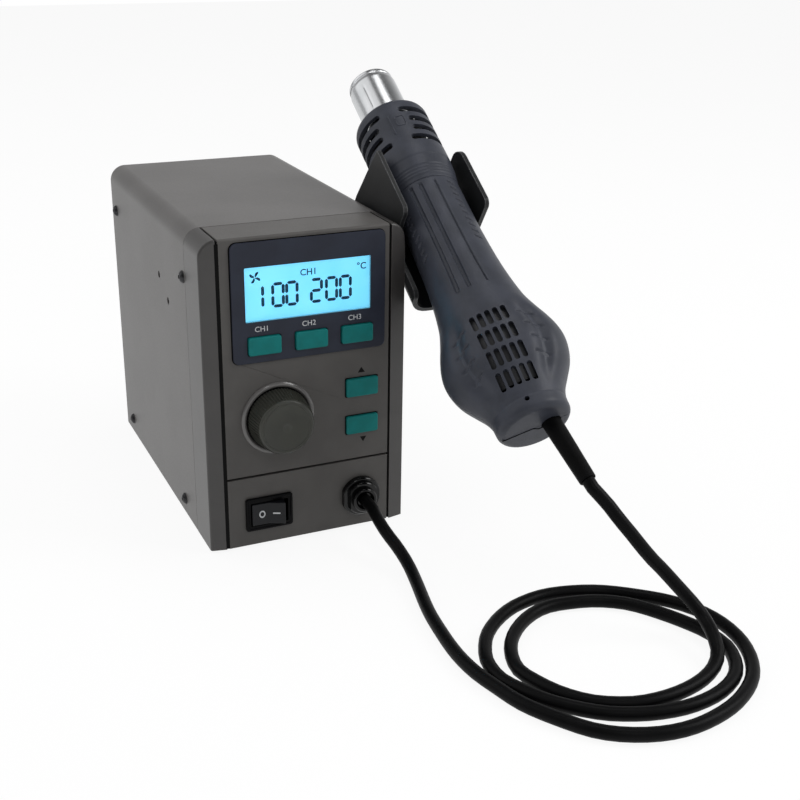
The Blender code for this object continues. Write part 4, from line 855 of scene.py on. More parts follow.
def make_front():
    """The frame, its two panels, black pieces of painted shade in the grooves and gaps between them, and the
    lip round the knob.
    """
    def outer(edge, middle):
        facing = sorted(abs(face.normal.y) for face in edge.link_faces)
        beyond = middle.x < 0.5 - HALF_WIDTH or middle.z > TOP - CORNER - 0.1
        return facing[0] < 0.1 and facing[-1] > 0.9 and beyond and middle.y < FRONT + 4

    mesh = eased(rolled(solid("front_frame"), 1.8, outer), 0.35, 3, 40)
    put("front_surround", mesh, "station", FINISHES["frame"], ["front_frame"])
    panel = from_solid("control_panel", 0.4, FINISHES["front"], segments=3)
    flattened(panel)
    from_solid("lower_panel", 0.3, FINISHES["front"])
    shade_pieces = []
    # Black boxes in both grooves: painted shade
    for side in (-1, 1):
        near, far = sorted((side * (PANEL_HALF + 0.05), side * (PANEL_HALF + GROOVE - 0.05)))
        shade_pieces.append(box_shape((near, FRONT + 0.7, BASE + 0.3), (far, FRONT + 2.7, TOP - 2.9)))
        shade_pieces.append(box_shape((near, FRONT + 0.7, TOP - 2.8), (far, SEAM - 0.4, TOP - 0.9)))
    # The left groove is drawn wider than the right one, and black up to the surface as painted shade
    near = -PANEL_HALF - GROOVE - 0.35
    far = 0.3 - PANEL_HALF
    shade_pieces.append(box_shape((near, FRONT - 0.03, BASE + 0.4), (far, FRONT + 0.9, TOP - 1.9)))
    # A thin dark line of shade runs round the display's surround
    left, right, low, high = BEZEL
    around = rounded(left - 0.4, right + 0.4, low - 0.4, high + 0.3, 3.4, 8)
    within = rounded(left + 0.6, right - 0.6, low + 0.6, high - 0.7, 2.6, 8)
    plate = prism(around, FRONT - 0.05, FRONT + 0.2)
    middle = prism(within, FRONT - 1, FRONT + 1)
    shade_pieces.append(carved(plate, [middle]))
    # Black rims round the two step keys: painted shade in their gaps
    for x, z in STEPS:
        half_x = STEP_SIZE[0] / 2 + 0.5
        half_z = STEP_SIZE[1] / 2 + 0.4
        around = rounded(x - half_x, x + half_x - 0.3, z - half_z, z + half_z, 1.0, 4)
        shade_pieces.append(prism(around, FRONT - 0.02, FRONT + 0.2))
    put("groove_seals", joined(shade_pieces), "station", FINISHES["shadow"])
    ring = [(17.9, 0.02), (17.75, 0.7), (17.0, 1.35), (16.1, 1.4), (15.45, 1.0), (15.35, 0.02)]
    lip = turned(softened_corners(ring, 0.5, 5), 128)
    # A black ring of painted shade in the gap between the lip and the knob
    well = turned([(5.2, 0.05), (15.3, 0.05), (15.3, 0.2), (5.2, 0.2)], 96)
    spot = Matrix.Translation((KNOB[0], FRONT, KNOB[1])) @ FACE_FRONT
    lip.transform(spot)
    well.transform(spot)
    put("knob_lip", lip, "station", FINISHES["lip"])
    put("knob_well", well, "station", FINISHES["shadow"])
    marks = [
        prism([(24.9, 81.0), (28.5, 81.0), (26.7, 83.7)], FRONT - 0.03, FRONT + 0.2),
        prism([(27.7, 45.4), (29.4, 48.1), (26.1, 48.1)], FRONT - 0.03, FRONT + 0.2),
    ]
    put("step_marks", joined(marks), "station", FINISHES["mark"])


def make_display():
    """The surround, the clear pane, the lit glass, the digits and the channels' labels."""
    left, right, low, high = BEZEL
    rings = []
    steps = [(0.3, FRONT - 0.3), (0, FRONT - 0.6), (0, BEZEL_FRONT + 0.35)]
    steps += [(0.12, BEZEL_FRONT + 0.1), (0.4, BEZEL_FRONT)]
    for inset, y in steps:
        rings.append((rounded(left + inset, right - inset, low + inset, high - inset, 3.0 - inset, 8), y))
    mesh = stacked(rings)
    plug = box_shape((left + 1.3, FRONT - 0.5, low + 1.3), (right - 1.3, FRONT + 2.2, high - 1.3))
    mesh = carved(mesh, [plug], "UNION")
    openings = [prism(rounded(WINDOW[0], WINDOW[1], WINDOW[2], WINDOW[3], 0.4, 3), FRONT - 5, FRONT + 5)]
    for x, z in CHANNELS:
        half_x = CHANNEL_SIZE[0] / 2 + 0.3
        half_z = CHANNEL_SIZE[1] / 2 + 0.3
        around = rounded(x - half_x, x + half_x, z - half_z, z + half_z, 0.9, 4)
        openings.append(prism(around, FRONT - 5, FRONT + 5))
    mesh = eased(carved(mesh, openings), 0.12, 2, 50)
    put("display_surround", mesh, "station", FINISHES["bezel"], ["display_bezel"])
    around = rounded(WINDOW[0] + 0.1, WINDOW[1] - 0.1, WINDOW[2] + 0.1, WINDOW[3] - 0.1, 0.3, 3)
    pane = prism(around, FRONT - 0.8, FRONT + 0.2)
    window = put("clear_window", eased(pane, 0.1), "station", FINISHES["clear"], ["display_lens"])
    left, right, low, high = WINDOW
    glass = [
        box_shape((left + 0.15, GLASS, low + 0.15), (right - 0.15, GLASS + 2.4, high - 0.15)),
        box_shape((left - 2, FRONT + 2.6, low - 4.4), (right + 2, FRONT + 10.1, high + 4)),
    ]
    put("crystal_glass", joined(glass), "station", FINISHES["lit"], ["lcd_panel"])
    make_digits()
    labels = []
    for number, (x, z) in enumerate(CHANNELS, 1):
        labels.append(lettering(f"CH{number}", 3.5, x - 1.0, 108.9, BEZEL_FRONT - 0.02))
    put("channel_labels", joined(labels), "station", FINISHES["white"])


def bar(x1, z1, x2, z2, half):
    """One stroke of a digit with pointed ends."""
    if x1 == x2:
        points = [(x1, z1), (x1 + half, z1 + half), (x1 + half, z2 - half)]
        points += [(x1, z2), (x1 - half, z2 - half), (x1 - half, z1 + half)]
    else:
        points = [(x1, z1), (x1 + half, z1 - half), (x2 - half, z1 - half)]
        points += [(x2, z1), (x2 - half, z1 + half), (x1 + half, z1 + half)]
    return prism(points, GLASS - 0.03, GLASS)


def make_digits():
    """Two numbers of three digits, a fan sign, a channel number and a degree sign."""
    strokes = {"0": "abcdef", "1": "bc", "2": "abged"}
    low, high = 118.4, 128.6
    middle = (low + high) / 2
    half = 0.72
    gap = 0.24
    shapes = []
    for sign, left in (("1", -25.5), ("0", -15.9), ("0", -9.35), ("2", 2.3), ("0", 9.6), ("0", 16.35)):
        right = left + 4.9
        places = {
            "a": (left, high, right, high), "d": (left, low, right, low), "g": (left, middle, right, middle),
            "b": (right, middle, right, high), "c": (right, low, right, middle),
            "e": (left, low, left, middle), "f": (left, middle, left, high),
        }
        for stroke in strokes[sign]:
            x1, z1, x2, z2 = places[stroke]
            if x1 == x2:
                shapes.append(bar(x1, z1 + gap, x2, z2 - gap, half))
            else:
                shapes.append(bar(x1 + gap, z1, x2 - gap, z2, half))
    shapes.append(lettering("CH1", 4.2, 1.1, 132.4, GLASS - 0.03, 0.06))
    shapes.append(lettering("°C", 4.3, 26.7, 132.5, GLASS - 0.03, 0.07))
    for quarter in range(4):
        blade = []
        for reach, aside in ((0.2, -0.3), (0.7, 0.85), (1.9, 1.25), (2.9, 0.75), (2.6, 0.1), (1.6, 0.05)):
            turn = Matrix.Rotation(math.radians(45 + 90 * quarter), 2)
            spot = turn @ Vector((reach, aside))
            blade.append((-24.0 + spot.x, 132.5 + spot.y))
        shapes.append(prism(blade, GLASS - 0.03, GLASS))
    put("crystal_segments", joined(shapes), "station", FINISHES["segment"])


def key_shape(size, back, catch):
    """A key cap with a crowned face, soft edges and a wider catch behind."""
    half_x = size[0] / 2
    half_z = size[1] / 2
    rings = []
    steps = [(0, back), (0, -1.0), (0.06, -1.25), (0.25, -1.43)]
    steps += [(0.6, -1.5), (2.2, -1.56), (3.4, -1.58)]
    for inset, y in steps:
        radius = max(1.0 - inset * 0.4, 0.3)
        rings.append((rounded(inset - half_x, half_x - inset, inset - half_z, half_z - inset, radius, 4), y))
    plate = prism(rounded(-half_x - 1, half_x + 1, -half_z - 1, half_z + 1, 1.2, 4), catch, catch + 0.8)
    stem = rod((0, catch + 0.6, 0), (0, catch + 1.2, 0), 1.5)
    return joined([stacked(rings[::-1]), plate, stem])


def make_keys():
    """Each key rides on a body of its own."""
    wanted = [(f"channel_button_{n}", spot, CHANNEL_SIZE, BEZEL_FRONT) for n, spot in enumerate(CHANNELS, 1)]
    wanted += [("up_button", STEPS[0], STEP_SIZE, FRONT), ("down_button", STEPS[1], STEP_SIZE, FRONT)]
    for node, (x, z), size, face in wanted:
        catch = FRONT + 2.8 - face
        mesh = key_shape(size, catch + 0.4, catch)
        mesh.transform(Matrix.Translation((x, face, z)))
        put(node + "_key", mesh, node + "_body", FINISHES["keys"], [node])


def make_knob():
    """A tapered knob with a ribbed side, a round shoulder and a slightly crowned face."""
    rim = KNOB_RADIUS - 0.25
    tip = KNOB_TIP
    face = [(0, 12.35), (0.8, 12.45), (2.1, 12.9), (4.0, 12.95), (8.0, 12.85), (10.9, 12.7)]
    profile = face + [(11.15, 12.5), (11.4, 12.72), (12.3, 12.8), (tip, 12.3), (tip + 0.25, 11.6), (rim, 1.2)]
    profile += [(rim, 0.5), (13.0, 0.5), (11.4, 9.5), (5.4, 9.5)]
    profile += [(5.4, 1.9), (3.2, 1.9), (3.2, 10.3), (0, 10.3)]
    mesh = turned(softened_corners(profile, 0.3, 3), 144)
    count = 64
    low, high = 1.0, 11.2
    lean = math.atan2(rim - tip - 0.25, 10.4)
    outline = [(-0.4, low), (0.4, low), (0.34, high), (0, high + 0.4), (-0.34, high)]
    bm = bmesh.new()
    bm.from_mesh(prism(outline, -0.5, 0.3))
    for vert in bm.verts:
        if vert.co.y < 0:
            vert.co.x *= 0.45
        vert.co.y += math.tan(lean) * (vert.co.z - low)
    rib = eased(mesh_from(bm, "rib"), 0.08, 1, 20)
    spots = []
    for index in range(count):
        angle = 2 * math.pi * index / count
        spots.append(((rim * math.sin(angle), -rim * math.cos(angle), 0), (0, 0, angle)))
    whole = joined([mesh, repeated(COPIES, rib, spots, FINISHES["knob"])])
    whole.transform(Matrix.Translation((KNOB[0], FRONT, KNOB[1])) @ FACE_FRONT)
    put("ribbed_knob", whole, "knob_set", FINISHES["knob"], ["knob"], angle=28)


def make_switch():
    """A flanged housing with a sunk frame, and a rocker with two printed marks."""
    x, z = SWITCH
    half = SWITCH_BEZEL[0] / 2
    high = SWITCH_BEZEL[1] / 2
    rings = []
    steps = [(0.15, -0.05), (0, -0.3), (0, -1.2), (0.15, -1.45)]
    steps += [(0.45, -1.6), (1.1, -1.6), (1.35, -1.35), (1.6, -1.3)]
    for inset, y in steps:
        corner = max(1.2 - inset * 0.4, 0.5)
        points = rounded(x - half + inset, x + half - inset, z - high + inset, z + high - inset, corner, 5)
        rings.append((points, FRONT + y))
    mesh = stacked(rings)
    body = box_shape((x - 10.15, FRONT - 0.5, z - 7.1), (x + 10.15, ROCKER_PIVOT + 15.5, z + 7.1))
    blades = [
        box_shape((x - 6.5, ROCKER_PIVOT + 14, z - 3.1), (x - 5.7, ROCKER_PIVOT + 23.5, z + 3.1)),
        box_shape((x + 5.7, ROCKER_PIVOT + 14, z - 3.1), (x + 6.5, ROCKER_PIVOT + 23.5, z + 3.1)),
    ]
    mesh = carved(mesh, [body] + blades, "UNION")
    well = prism(rounded(x - 9.2, x + 9.2, z - 5.9, z + 5.9, 0.5, 3), FRONT - 5, ROCKER_PIVOT + 7)
    mesh = eased(carved(mesh, [well]), 0.15, 2, 50)
    put("switch_surround", mesh, "station", FINISHES["switch"], ["switch_housing"])
    front = -3.6
    rise = math.tan(math.radians(ROCKER_TILT))
    wide = 7.9

    def crown(across):
        return front - (math.sqrt(across ** 2 + 1.0) - 1.0) * rise

    points = [(wide * step / 12, crown(wide * step / 12)) for step in range(-12, 13)]
    points += [(wide - 0.4, 0.5), (wide - 3.9, 4.5), (3.9 - wide, 4.5), (0.4 - wide, 0.5)]
    cap = prism(points, -5.5, 5.5)
    cap.transform(Matrix.Rotation(math.pi / 2, 4, "X") @ Matrix.Diagonal((1, 1, -1, 1)))
    cap = eased(outward(cap), 0.4, 3, 40)
    pin = rod((0, 0, -6.3), (0, 0, 6.3), 1.5, 24)
    turn = Matrix.Translation((x, ROCKER_PIVOT, z)) @ Matrix.Rotation(math.radians(-ROCKER_TILT), 4, "Z")
    cap = joined([cap, pin])
    cap.transform(turn)
    put("rocker_cap", cap, "rocker_body", FINISHES["rocker"], ["rocker"])
    ring = turned([(0.95, 0), (0.95, 0.08), (1.55, 0.08), (1.55, 0)], 40)
    ring.transform(Matrix.Diagonal((1, 1, 1.2, 1)) @ FACE_FRONT)
    dash = prism(rounded(-1.75, 1.75, -0.36, 0.36, 0.1, 3), -0.08, 0)
    marks = []
    for side, shape in ((-1, ring), (1, dash)):
        across = 3.7 if side > 0 else 3.1
        spot = Matrix.Translation((side * across, crown(across) + 0.02, 0))
        shape.transform(turn @ spot @ Matrix.Rotation(math.radians(-side * ROCKER_TILT), 4, "Z"))
        marks.append(shape)
    put("rocker_marks", joined(marks), "rocker_body", FINISHES["white"])


def make_gland():
    """A flange and a second step, both with two flats, and a hollow collar round the cord."""
    steps = []
    for profile, middle, half, low, high in (
        ([(0, 3.1), (9.4, 3.1), (10, 2.5), (10, 0.1), (7.9, 0.1), (7.9, -7), (0, -7)], 12, 2.75, 0, 5),
        ([(0, 5.4), (7.7, 5.4), (8.4, 4.7), (8.4, 2.6), (0, 2.6)], 9.7, 3, -8, 8),
    ):
        step = turned(softened_corners(profile, 0.3), 72)
        sides = []
        for side in (-1, 1):
            sides.append(box_shape((side * middle - half, -12, low), (side * middle + half, 12, high)))
        steps.append(eased(carved(step, sides), 0.3, 3, 50))
    collar = [(6.2, 5.0), (6.1, 7.4), (5.5, 8.0), (4.6, 7.9), (3.7, 7.0)]
    collar += [(3.3, 4.0), (0, 4.0), (0, 3.0), (6.2, 3.0)]
    mesh = joined(steps + [turned(softened_corners(collar, 0.35), 72)])
    mesh.transform(Matrix.Translation((GLAND[0], FRONT, GLAND[1])) @ FACE_FRONT)
    put("gland_body", mesh, "station", FINISHES["gland"], ["cable_gland"])


def make_rear():
    """The tray, the inlet with its pins, and the fuse drawer."""
    from_solid("chassis_tray", 0.2, FINISHES["zinc"], segments=1)
    from_solid("power_inlet", 0.35, FINISHES["switch"])
    from_solid("fuse_drawer", 0.25, FINISHES["switch"], "drawer")
    x, z = INLET
    pins = []
    for pin_x, pin_z in ((x, z + 8.6), (x - 7, z + 3.6), (x + 7, z + 3.6)):
        blade = prism(rounded(pin_x - 1.08, pin_x + 1.08, pin_z - 2.08, pin_z + 2.08, 0.4, 3), 70, 78.8)
        pins.append(eased(blade, 0.25))
    put("inlet_pins", joined(pins), "station", FINISHES["zinc"])


def make_holder():
    """A bent cradle whose arms have round corners and a rolled rim."""
    bm = bmesh.new()
    bm.from_mesh(solid("gun_holder"))
    corners = []
    for edge in bm.edges:
        across = abs(edge.calc_length() - HOLDER_SHEET) < 0.1
        near = [other for vert in edge.verts for other in vert.link_edges if other is not edge]
        room = min(other.calc_length() for other in near)
        if across and edge.calc_face_angle(0) > math.radians(70) and room > 3.8:
            corners.append(edge)
    bmesh.ops.bevel(
        bm, geom=corners, offset=3.6, segments=8, profile=0.5, affect="EDGES", clamp_overlap=False,
    )
    mesh = eased(mesh_from(bm, "holder"), 0.7, 3, 35)
    put("gun_holder_body", mesh, "station", FINISHES["holder"], ["gun_holder"])


# Handle
def section_at(places):
    """Half width and half depth at places along the handle, on a smooth curve through SECTIONS."""
    table = np.array(SECTIONS[::-1])
    s, values = table[:, 0], table[:, 1:]
    step = np.diff(s)
    slope = np.diff(values, axis=0) / step[:, None]
    tangent = np.zeros_like(values)
    crossed = slope[:-1] * step[1:, None] + slope[1:] * step[:-1, None]
    tangent[1:-1] = crossed / (step[1:] + step[:-1])[:, None]
    tangent[0] = slope[0]
    tangent[-1] = slope[-1]
    result = []
    for place in places:
        index = int(np.clip(np.searchsorted(s, place) - 1, 0, len(s) - 2))
        h = step[index]
        t = np.clip((place - s[index]) / h, 0, 1)
        result.append(
            (2 * t ** 3 - 3 * t ** 2 + 1) * values[index] + (t ** 3 - 2 * t ** 2 + t) * h * tangent[index]
            + (3 * t ** 2 - 2 * t ** 3) * values[index + 1] + (t ** 3 - t ** 2) * h * tangent[index + 1]
        )
    return np.array(result)


def step_up(value, low, high):
    """Rises softly from 0 to 1 between low and high."""
    t = min(max((value - low) / (high - low), 0), 1)
    return t * t * (3 - 2 * t)


def band(value, low, high, edge):
    """1 between low and high, falling softly to 0 over an edge outside them."""
    return step_up(value, low - edge, low) * (1 - step_up(value, high, high + edge))


def relief(angle, s, radius):
    """How far the grip's surface stands in or out, for an angle from the front in radians."""
    degrees = math.degrees(angle)
    side = abs(degrees)
    depth = 0.0
    if -34 < s < 36:
        for middle, half, cut, edge in ((-21, 0.7, 1.05, 0.4), (-4, 0.7, 1.05, 0.4), (21, 0.25, 0.8, 0.35)):
            across = abs(math.radians(degrees - middle)) * radius
            depth -= cut * band(across, -1, half, edge) * band(s, -31, 32.5, 1.0)
    if -6 < s < 36 and 38 < side < 60:
        for number in range(10):
            run = (side - 42) / 13
            line = 32.0 - number * 3.9 - run * 1.2
            if abs(s - line) < 1.4:
                depth -= 0.8 * band(abs(s - line), -1, 0.3, 0.5) * band(run, 0.1, 0.9, 0.12)
    if -94 < s < -36:
        valley = math.exp(-((side - 41) / 8.5) ** 2) * band(s, -76, -54, 13)
        depth -= 2.2 * valley
        for number in range(4):
            run = (side - 27) / 21
            line = -52.6 - number * 7.2 - run * 1.6 + 0.5 * math.sin(run * 5)
            if abs(s - line) < 1.6:
                depth -= 0.75 * band(abs(s - line), -1, 0.2, 0.6) * band(run, 0.1, 0.9, 0.14)
    depth -= 0.14 * band(abs(s + 91.4), -1, 0.15, 0.35)
    return depth


def make_shell(name, node, middle, body_finish):
    """Half of the grip, from its seam round to its seam, hollow, with a flat end."""
    outer = [(1.0, s) for s in np.arange(34.9, -95.4, -0.45)]
    rows = {}
    profile = []
    for share, s in [(0.985, 35.2), (0.995, 35.1)] + outer:
        profile.append((share, s))
    for step in range(1, 9):
        angle = math.radians(90 * step / 8)
        profile.append((1 - 0.19 * (1 - math.cos(angle)), -95.5 - 3.2 * math.sin(angle)))
    profile += [(0.55, SHELL_END), (0.0, SHELL_END)]
    profile += [(0.0, SHELL_END + SHELL_WALL), (-1.0, SHELL_END + SHELL_WALL)]
    profile += [(-1.0, s) for s in np.arange(-93.0, 30.0, 4.0)]
    profile += [(-0.9, 33.0), (-0.9, 35.2)]
    for (share, s), size in zip(profile, section_at([s for share, s in profile])):
        rows[round(float(s), 4)] = size

    def shape(angle, share, s):
        half_x, half_y = rows[round(float(s), 4)]
        if share < 0:
            half_x = (half_x - SHELL_WALL) * -share
            half_y = (half_y - SHELL_WALL) * -share
            lift = 0
        else:
            half_x = half_x * share
            half_y = half_y * share
            lift = relief(math.atan2(math.sin(angle), math.cos(angle)), s, half_x) if share == 1 else 0
        x = (half_x + lift) * math.sin(angle)
        y = -(half_y + lift) * math.cos(angle)
        edge = 0.16
        y = min(y, -edge) if middle == 0 else max(y, edge)
        return (x, y, s)

    mesh = turned(profile, 168, middle - 90, middle + 90, shape)
    cutters = []
    boot = rod(boot_point(6), boot_point(-6), 4.6)
    if middle == 0:
        slot = prism(rounded(-1.2, 1.2, -4.1, 4.1, 1.1, 5), -30, -14)
        spots = []
        for row in range(4):
            for column in range(-2, 3):
                spots.append(((3.6 * column, 0, BLOWER + 10 - 10 * row), (0, 0, 0)))
        cutters.append(repeated(COPIES, slot, spots, body_finish))
        cutters.append(rod((0, -30, -93), (0, -12, -93), 1.1))
    else:
        for s in (28.0, -30.0):
            cutters.append(rod((0, 12, s), (0, 30, s), 3.0))
    cutters.append(boot)
    mesh = carved(mesh, cutters, solver="MANIFOLD")
    obj = put(name, mesh, "handle", body_finish, [node], HANDLE, 40)


def make_grip_details():
    """A dust screen behind the grille, and the step in the seam beside the cord's boot."""
    inside = [(1.0, s) for s in np.arange(-44.0, -85.0, -2.0)]
    sizes = section_at([s for share, s in inside])
    rows = {round(float(s), 4): size for (share, s), size in zip(inside, sizes)}

    def shape(angle, share, s):
        half_x, half_y = rows[round(float(s), 4)]
        inset = SHELL_WALL + (0.05 if share > 0 else 0.65)
        return ((half_x - inset) * math.sin(angle), -(half_y - inset) * math.cos(angle), s)

    profile = inside + [(-1.0, s) for share, s in inside[::-1]]
    screen = turned(profile, 40, -32, 32, shape)
    put("dust_screen", screen, "handle", FINISHES["impeller"], (), HANDLE)
    corners = [(-15.6, 0), (-1.4, 0), (1.0, 2.1), (3.2, 2.1)]
    line = []
    for first, last in zip(corners, corners[1:]):
        start = Vector((first[0], first[1], SHELL_END))
        line.append(rod(start, Vector((last[0], last[1], SHELL_END)), 0.28, 8))
    put("seam_line", joined(line), "handle", FINISHES["shadow"], (), HANDLE)


def make_guard():
    """A slotted ring round the steel tube, with soft rings down to the grip."""
    outer = GUARD_RADIUS
    profile = [(12.6, 87), (16.0, 87), (17.4, 86.7), (18.3, 85.6), (outer, 84), (outer, 49.6), (18.55, 48.6)]
    profile += [(18.45, 46), (18.3, 43.2), (17.95, 42.4), (18.1, 41.5)]
    profile += [(17.75, 40.6), (17.9, 39.7), (17.55, 38.9)]
    profile += [(17.65, 38.1), (17.3, 37.3), (17.2, 36.4), (17.05, 35.22), (14.6, 35.22), (14.6, 37)]
    profile += [(16.3, 37), (16.8, 48), (16.8, 84), (15.6, 85.2), (12.6, 85.2)]
    mesh = turned(softened_corners(profile, 0.5, 3), 144)
    slots = []
    for s, angle in ((79, 15), (72.5, 24), (66.5, 24), (60, 15)):
        edge = outer * math.sin(math.radians(angle))
        for side in (-1, 1):
            low, high = sorted((side * edge, side * 30))
            slots.append(prism(rounded(low, high, s - 1.75, s + 1.75, 1.65, 6), -30, 30))
    mesh = eased(carved(mesh, slots), 0.45, 3, 50)
    ridge = eased(box_shape((-1.6, -19.2, 64.5), (-0.95, -18.0, 76.5)), 0.2)
    frame_out = prism(rounded(1.2, 6.0, 68.5, 75.0, 1.2, 4), -19.0, -18.0)
    frame_in = prism(rounded(1.6, 5.6, 68.9, 74.6, 0.9, 4), -20, -17.0)
    emboss = eased(carved(frame_out, [frame_in]), 0.1, 1)
    for vert in emboss.vertices:
        depth = -18.0 - vert.co.y
        vert.co.y = -math.sqrt((outer - 0.45 + depth * 0.75) ** 2 - vert.co.x ** 2)
    mesh = joined([mesh, ridge, emboss])
    guard = put("slotted_guard", mesh, "handle", FINISHES["handle"], ["nose_guard"], HANDLE, 40)


def make_tube():
    """A drawn steel tube with a narrower rim and a pressed crease, its coil, and a dark sleeve that paints
    shade behind the guard's slots.
    """
    def crease(angle, radius, s):
        turn = math.degrees(math.atan2(math.sin(angle), math.cos(angle)))
        if radius > 11.5:
            radius -= 0.4 * math.exp(-((turn + 22) / 3.2) ** 2) * band(s, 92, 108, 1.5)
        return (radius * math.sin(angle), -radius * math.cos(angle), s)

    places = list(np.arange(111.6, 40.5, -1.2))
    profile = [(10.9, 116.2), (11.1, 116.6), (11.45, 116.6), (11.65, 116.2), (11.65, 114.9), (11.45, 114.6)]
    profile += [(11.45, 114.2), (11.65, 113.9), (11.7, 113.2), (11.95, 112.6), (12.08, 112.1)]
    profile += [(TUBE_RADIUS, s) for s in places] + [(16, 39.2), (16, 37.4), (10.9, 37.4)]
    mesh = turned(profile, 160, shape=crease)
    put("steel_tube", mesh, "handle", FINISHES["steel"], ["heater_tube"], HANDLE, 30)
    path = []
    for index in range(24 * 16 + 1):
        angle = 2 * math.pi * index / 24
        path.append(Vector((9.3 * math.cos(angle), 9.3 * math.sin(angle), 104 - index * 3.6 / 24)))
    mesh = tube_along(path, 0.32, 6)
    put("heating_coil", mesh, "handle", FINISHES["zinc"], (), HANDLE)
    # A black sleeve inside the guard keeps its slots dark: painted shade
    sleeve = turned([(12.3, 47.0), (13.6, 47.0), (13.6, 76.0), (12.3, 76.0)], 48)
    put("heat_sleeve", sleeve, "handle", FINISHES["shadow"], (), HANDLE)


def make_boot():
    """A tapered sleeve round the cord, on its slanted axis."""
    start = boot_point(0)
    turn = (boot_point(1) - start).to_track_quat("Z", "Y").to_matrix().to_4x4()
    end = BOOT_LENGTH
    profile = [(0, end - 4), (2.95, end - 4), (2.95, end - 0.2), (3.15, end), (3.5, end), (3.75, end - 0.4)]
    profile += [(4.3, 5), (4.3, 1.2), (4.3, -3.0), (6, -3.0), (6, -5.0), (0, -5.0)]
    mesh = turned(softened_corners(profile, 0.25), 48)
    mesh.transform(Matrix.Translation(start) @ turn)
    put("cord_sleeve", mesh, "handle", FINISHES["boot"], ["handle_boot"], HANDLE)


def make_shell_screws():
    """Two screws with crossed slots in the rear of the handle."""
    head = turned(softened_corners([(0, 1.6), (2.1, 1.6), (2.6, 1.1), (2.6, 0), (0, 0)], 0.2), 32)
    cross = [box_shape((-1.6, -0.3, 0.6), (1.6, 0.3, 3)), box_shape((-0.3, -1.6, 0.6), (0.3, 1.6, 3))]
    shape = joined([carved(head, cross), turned([(0, 0.1), (1.25, 0.1), (1.25, -20), (0, -20)], 16)])
    spots = [((0, 12.3, s), (-math.pi / 2, 0, 0)) for s in (28.0, -30.0)]
    mesh = repeated(COPIES, shape, spots, FINISHES["zinc"])
    nodes = ["shell_screw_1", "shell_screw_2"]
    put("grip_screws", mesh, "handle", FINISHES["zinc"], nodes, HANDLE)


def paint_inner():
    """Solids that keep their own shape, each with its own finish."""
    wanted = {
        "encoder_body": "zinc", "encoder_shaft": "zinc", "control_board": "board",
        "main_board": "board", "handle_board": "board", "transformer_core": "zinc",
        "transformer_winding": "tape", "heat_sink": "zinc", "triac": "resin",
        "filter_capacitor": "sleeve", "fuse": "clear", "gland_nut": "switch",
        "heater_core": "ceramic", "mica_sleeve": "mica", "blower_housing": "switch",
        "blower_impeller": "impeller",
    }
    for node, finish in wanted.items():
        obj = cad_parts[node]
        obj.data.materials.clear()
        obj.data.materials.append(FINISHES[finish])


# Studio
def shown(tree):
    """1 for rays that show the background as it is: from the camera, or by way of metal or glass."""
    light = add(tree, "ShaderNodeLightPath")
    first = add(tree, "ShaderNodeMath", {"operation": "MAXIMUM"}, {
        0: light.outputs["Is Camera Ray"], 1: light.outputs["Is Transmission Ray"],
    })
    both = add(tree, "ShaderNodeMath", {"operation": "MAXIMUM"}, {
        0: first.outputs["Value"], 1: light.outputs["Is Glossy Ray"],
    })
    return light, both.outputs["Value"]


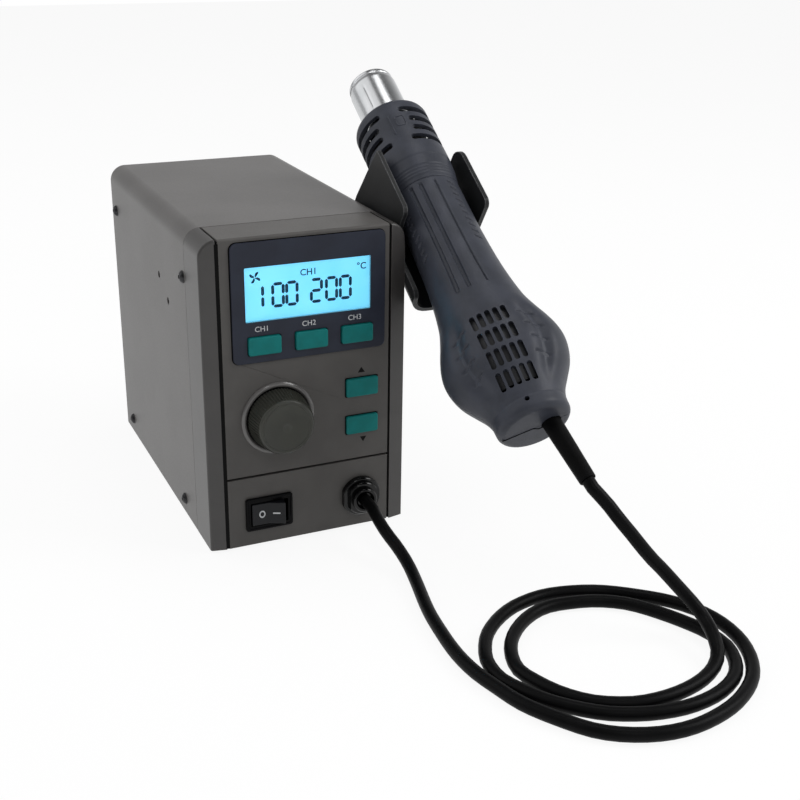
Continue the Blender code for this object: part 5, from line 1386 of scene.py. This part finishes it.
def make_stage():
    """White paper under an even studio, with a broad lamp at the left and three smaller ones."""
    world = bpy.data.worlds.new("studio")
    bpy.context.scene.world = world
    world.use_nodes = True
    tree = world.node_tree
    background = tree.nodes["Background"]
    background.inputs["Color"].default_value = (1, 1, 1, 1)
    light, both = shown(tree)
    # Glossy pieces see a studio that is white at the horizon, and darker above and at the left
    toward = add(tree, "ShaderNodeTexCoord").outputs["Object"]
    parts = add(tree, "ShaderNodeSeparateXYZ", None, {"Vector": toward})
    above = add(tree, "ShaderNodeMapRange", {"From Max": 0.8, "To Min": 1.0, "To Max": 0.14}, {
        "Value": parts.outputs["Z"],
    })
    aside = add(tree, "ShaderNodeMapRange", {"From Min": -0.75, "From Max": 0.3, "To Min": 0.45}, {
        "Value": parts.outputs["X"],
    })
    room = add(tree, "ShaderNodeMath", {"operation": "MULTIPLY"}, {
        0: above.outputs["Result"], 1: aside.outputs["Result"],
    })
    plain = add(tree, "ShaderNodeMapRange", {"To Min": 0.32, "To Max": 1.0}, {"Value": both})
    level = add(tree, "ShaderNodeMix", {"data_type": "FLOAT"}, {
        0: light.outputs["Is Glossy Ray"], 2: plain.outputs["Result"], 3: room.outputs["Value"],
    })
    tree.links.new(level.outputs[0], background.inputs["Strength"])

    material, tree, shader = blank("white_paper")
    place = add(tree, "ShaderNodeTexCoord").outputs["Object"]
    clouded(tree, shader, "d8d8d8", "d6d6d6", place, 0.2)
    shader.inputs["Roughness"].default_value = 0.9
    shader.inputs["Specular IOR Level"].default_value = 0.1
    light, both = shown(tree)
    share = add(tree, "ShaderNodeMapRange", {"To Max": 0.84}, {"Value": both})
    bright = add(tree, "ShaderNodeEmission", {"Strength": 1.08})
    sheet = add(tree, "ShaderNodeMixShader", None, {
        0: share.outputs["Result"], 1: shader.outputs["BSDF"], 2: bright.outputs["Emission"],
    })
    tree.links.new(sheet.outputs["Shader"], tree.nodes["Material Output"].inputs["Surface"])
    bm = bmesh.new()
    bmesh.ops.create_grid(bm, x_segments=1, y_segments=1, size=3)
    floor = bpy.data.objects.new("floor", mesh_from(bm, "floor"))
    floor.data.materials.append(material)
    floor.location.z = -0.0002
    bpy.context.scene.collection.objects.link(floor)
    lamps = (
        ("high_left", (-1.15, 0.55, 1.2), 1.8, 9.5),
        ("high_right", (1.05, -0.55, 1.0), 0.7, 8.0),
        ("overhead", (0.2, 0.03, 1.4), 0.45, 2.4),
        ("high_front", (-0.15, -1.1, 1.25), 0.3, 1.7),
    )
    for name, place, size, power in lamps:
        lamp = bpy.data.lights.new(name, "AREA")
        lamp.shape = "SQUARE"
        lamp.size = size
        lamp.energy = power
        obj = bpy.data.objects.new(name, lamp)
        obj.location = place
        obj.rotation_euler = (Vector(place) - Vector((0, 0, 0.08))).to_track_quat("Z", "Y").to_euler()
        bpy.context.scene.collection.objects.link(obj)


make_cover()
make_screws()
make_feet()
make_front()
make_display()
make_keys()
make_knob()
make_switch()
make_gland()
make_rear()
make_holder()
make_shell("front_grip", "handle_front_shell", 0, FINISHES["handle"])
make_shell("rear_grip", "handle_rear_shell", 180, FINISHES["handle"])
make_grip_details()
make_guard()
make_tube()
make_boot()
make_shell_screws()
paint_inner()
make_stage()
bpy.context.scene.view_settings.view_transform = "Standard"
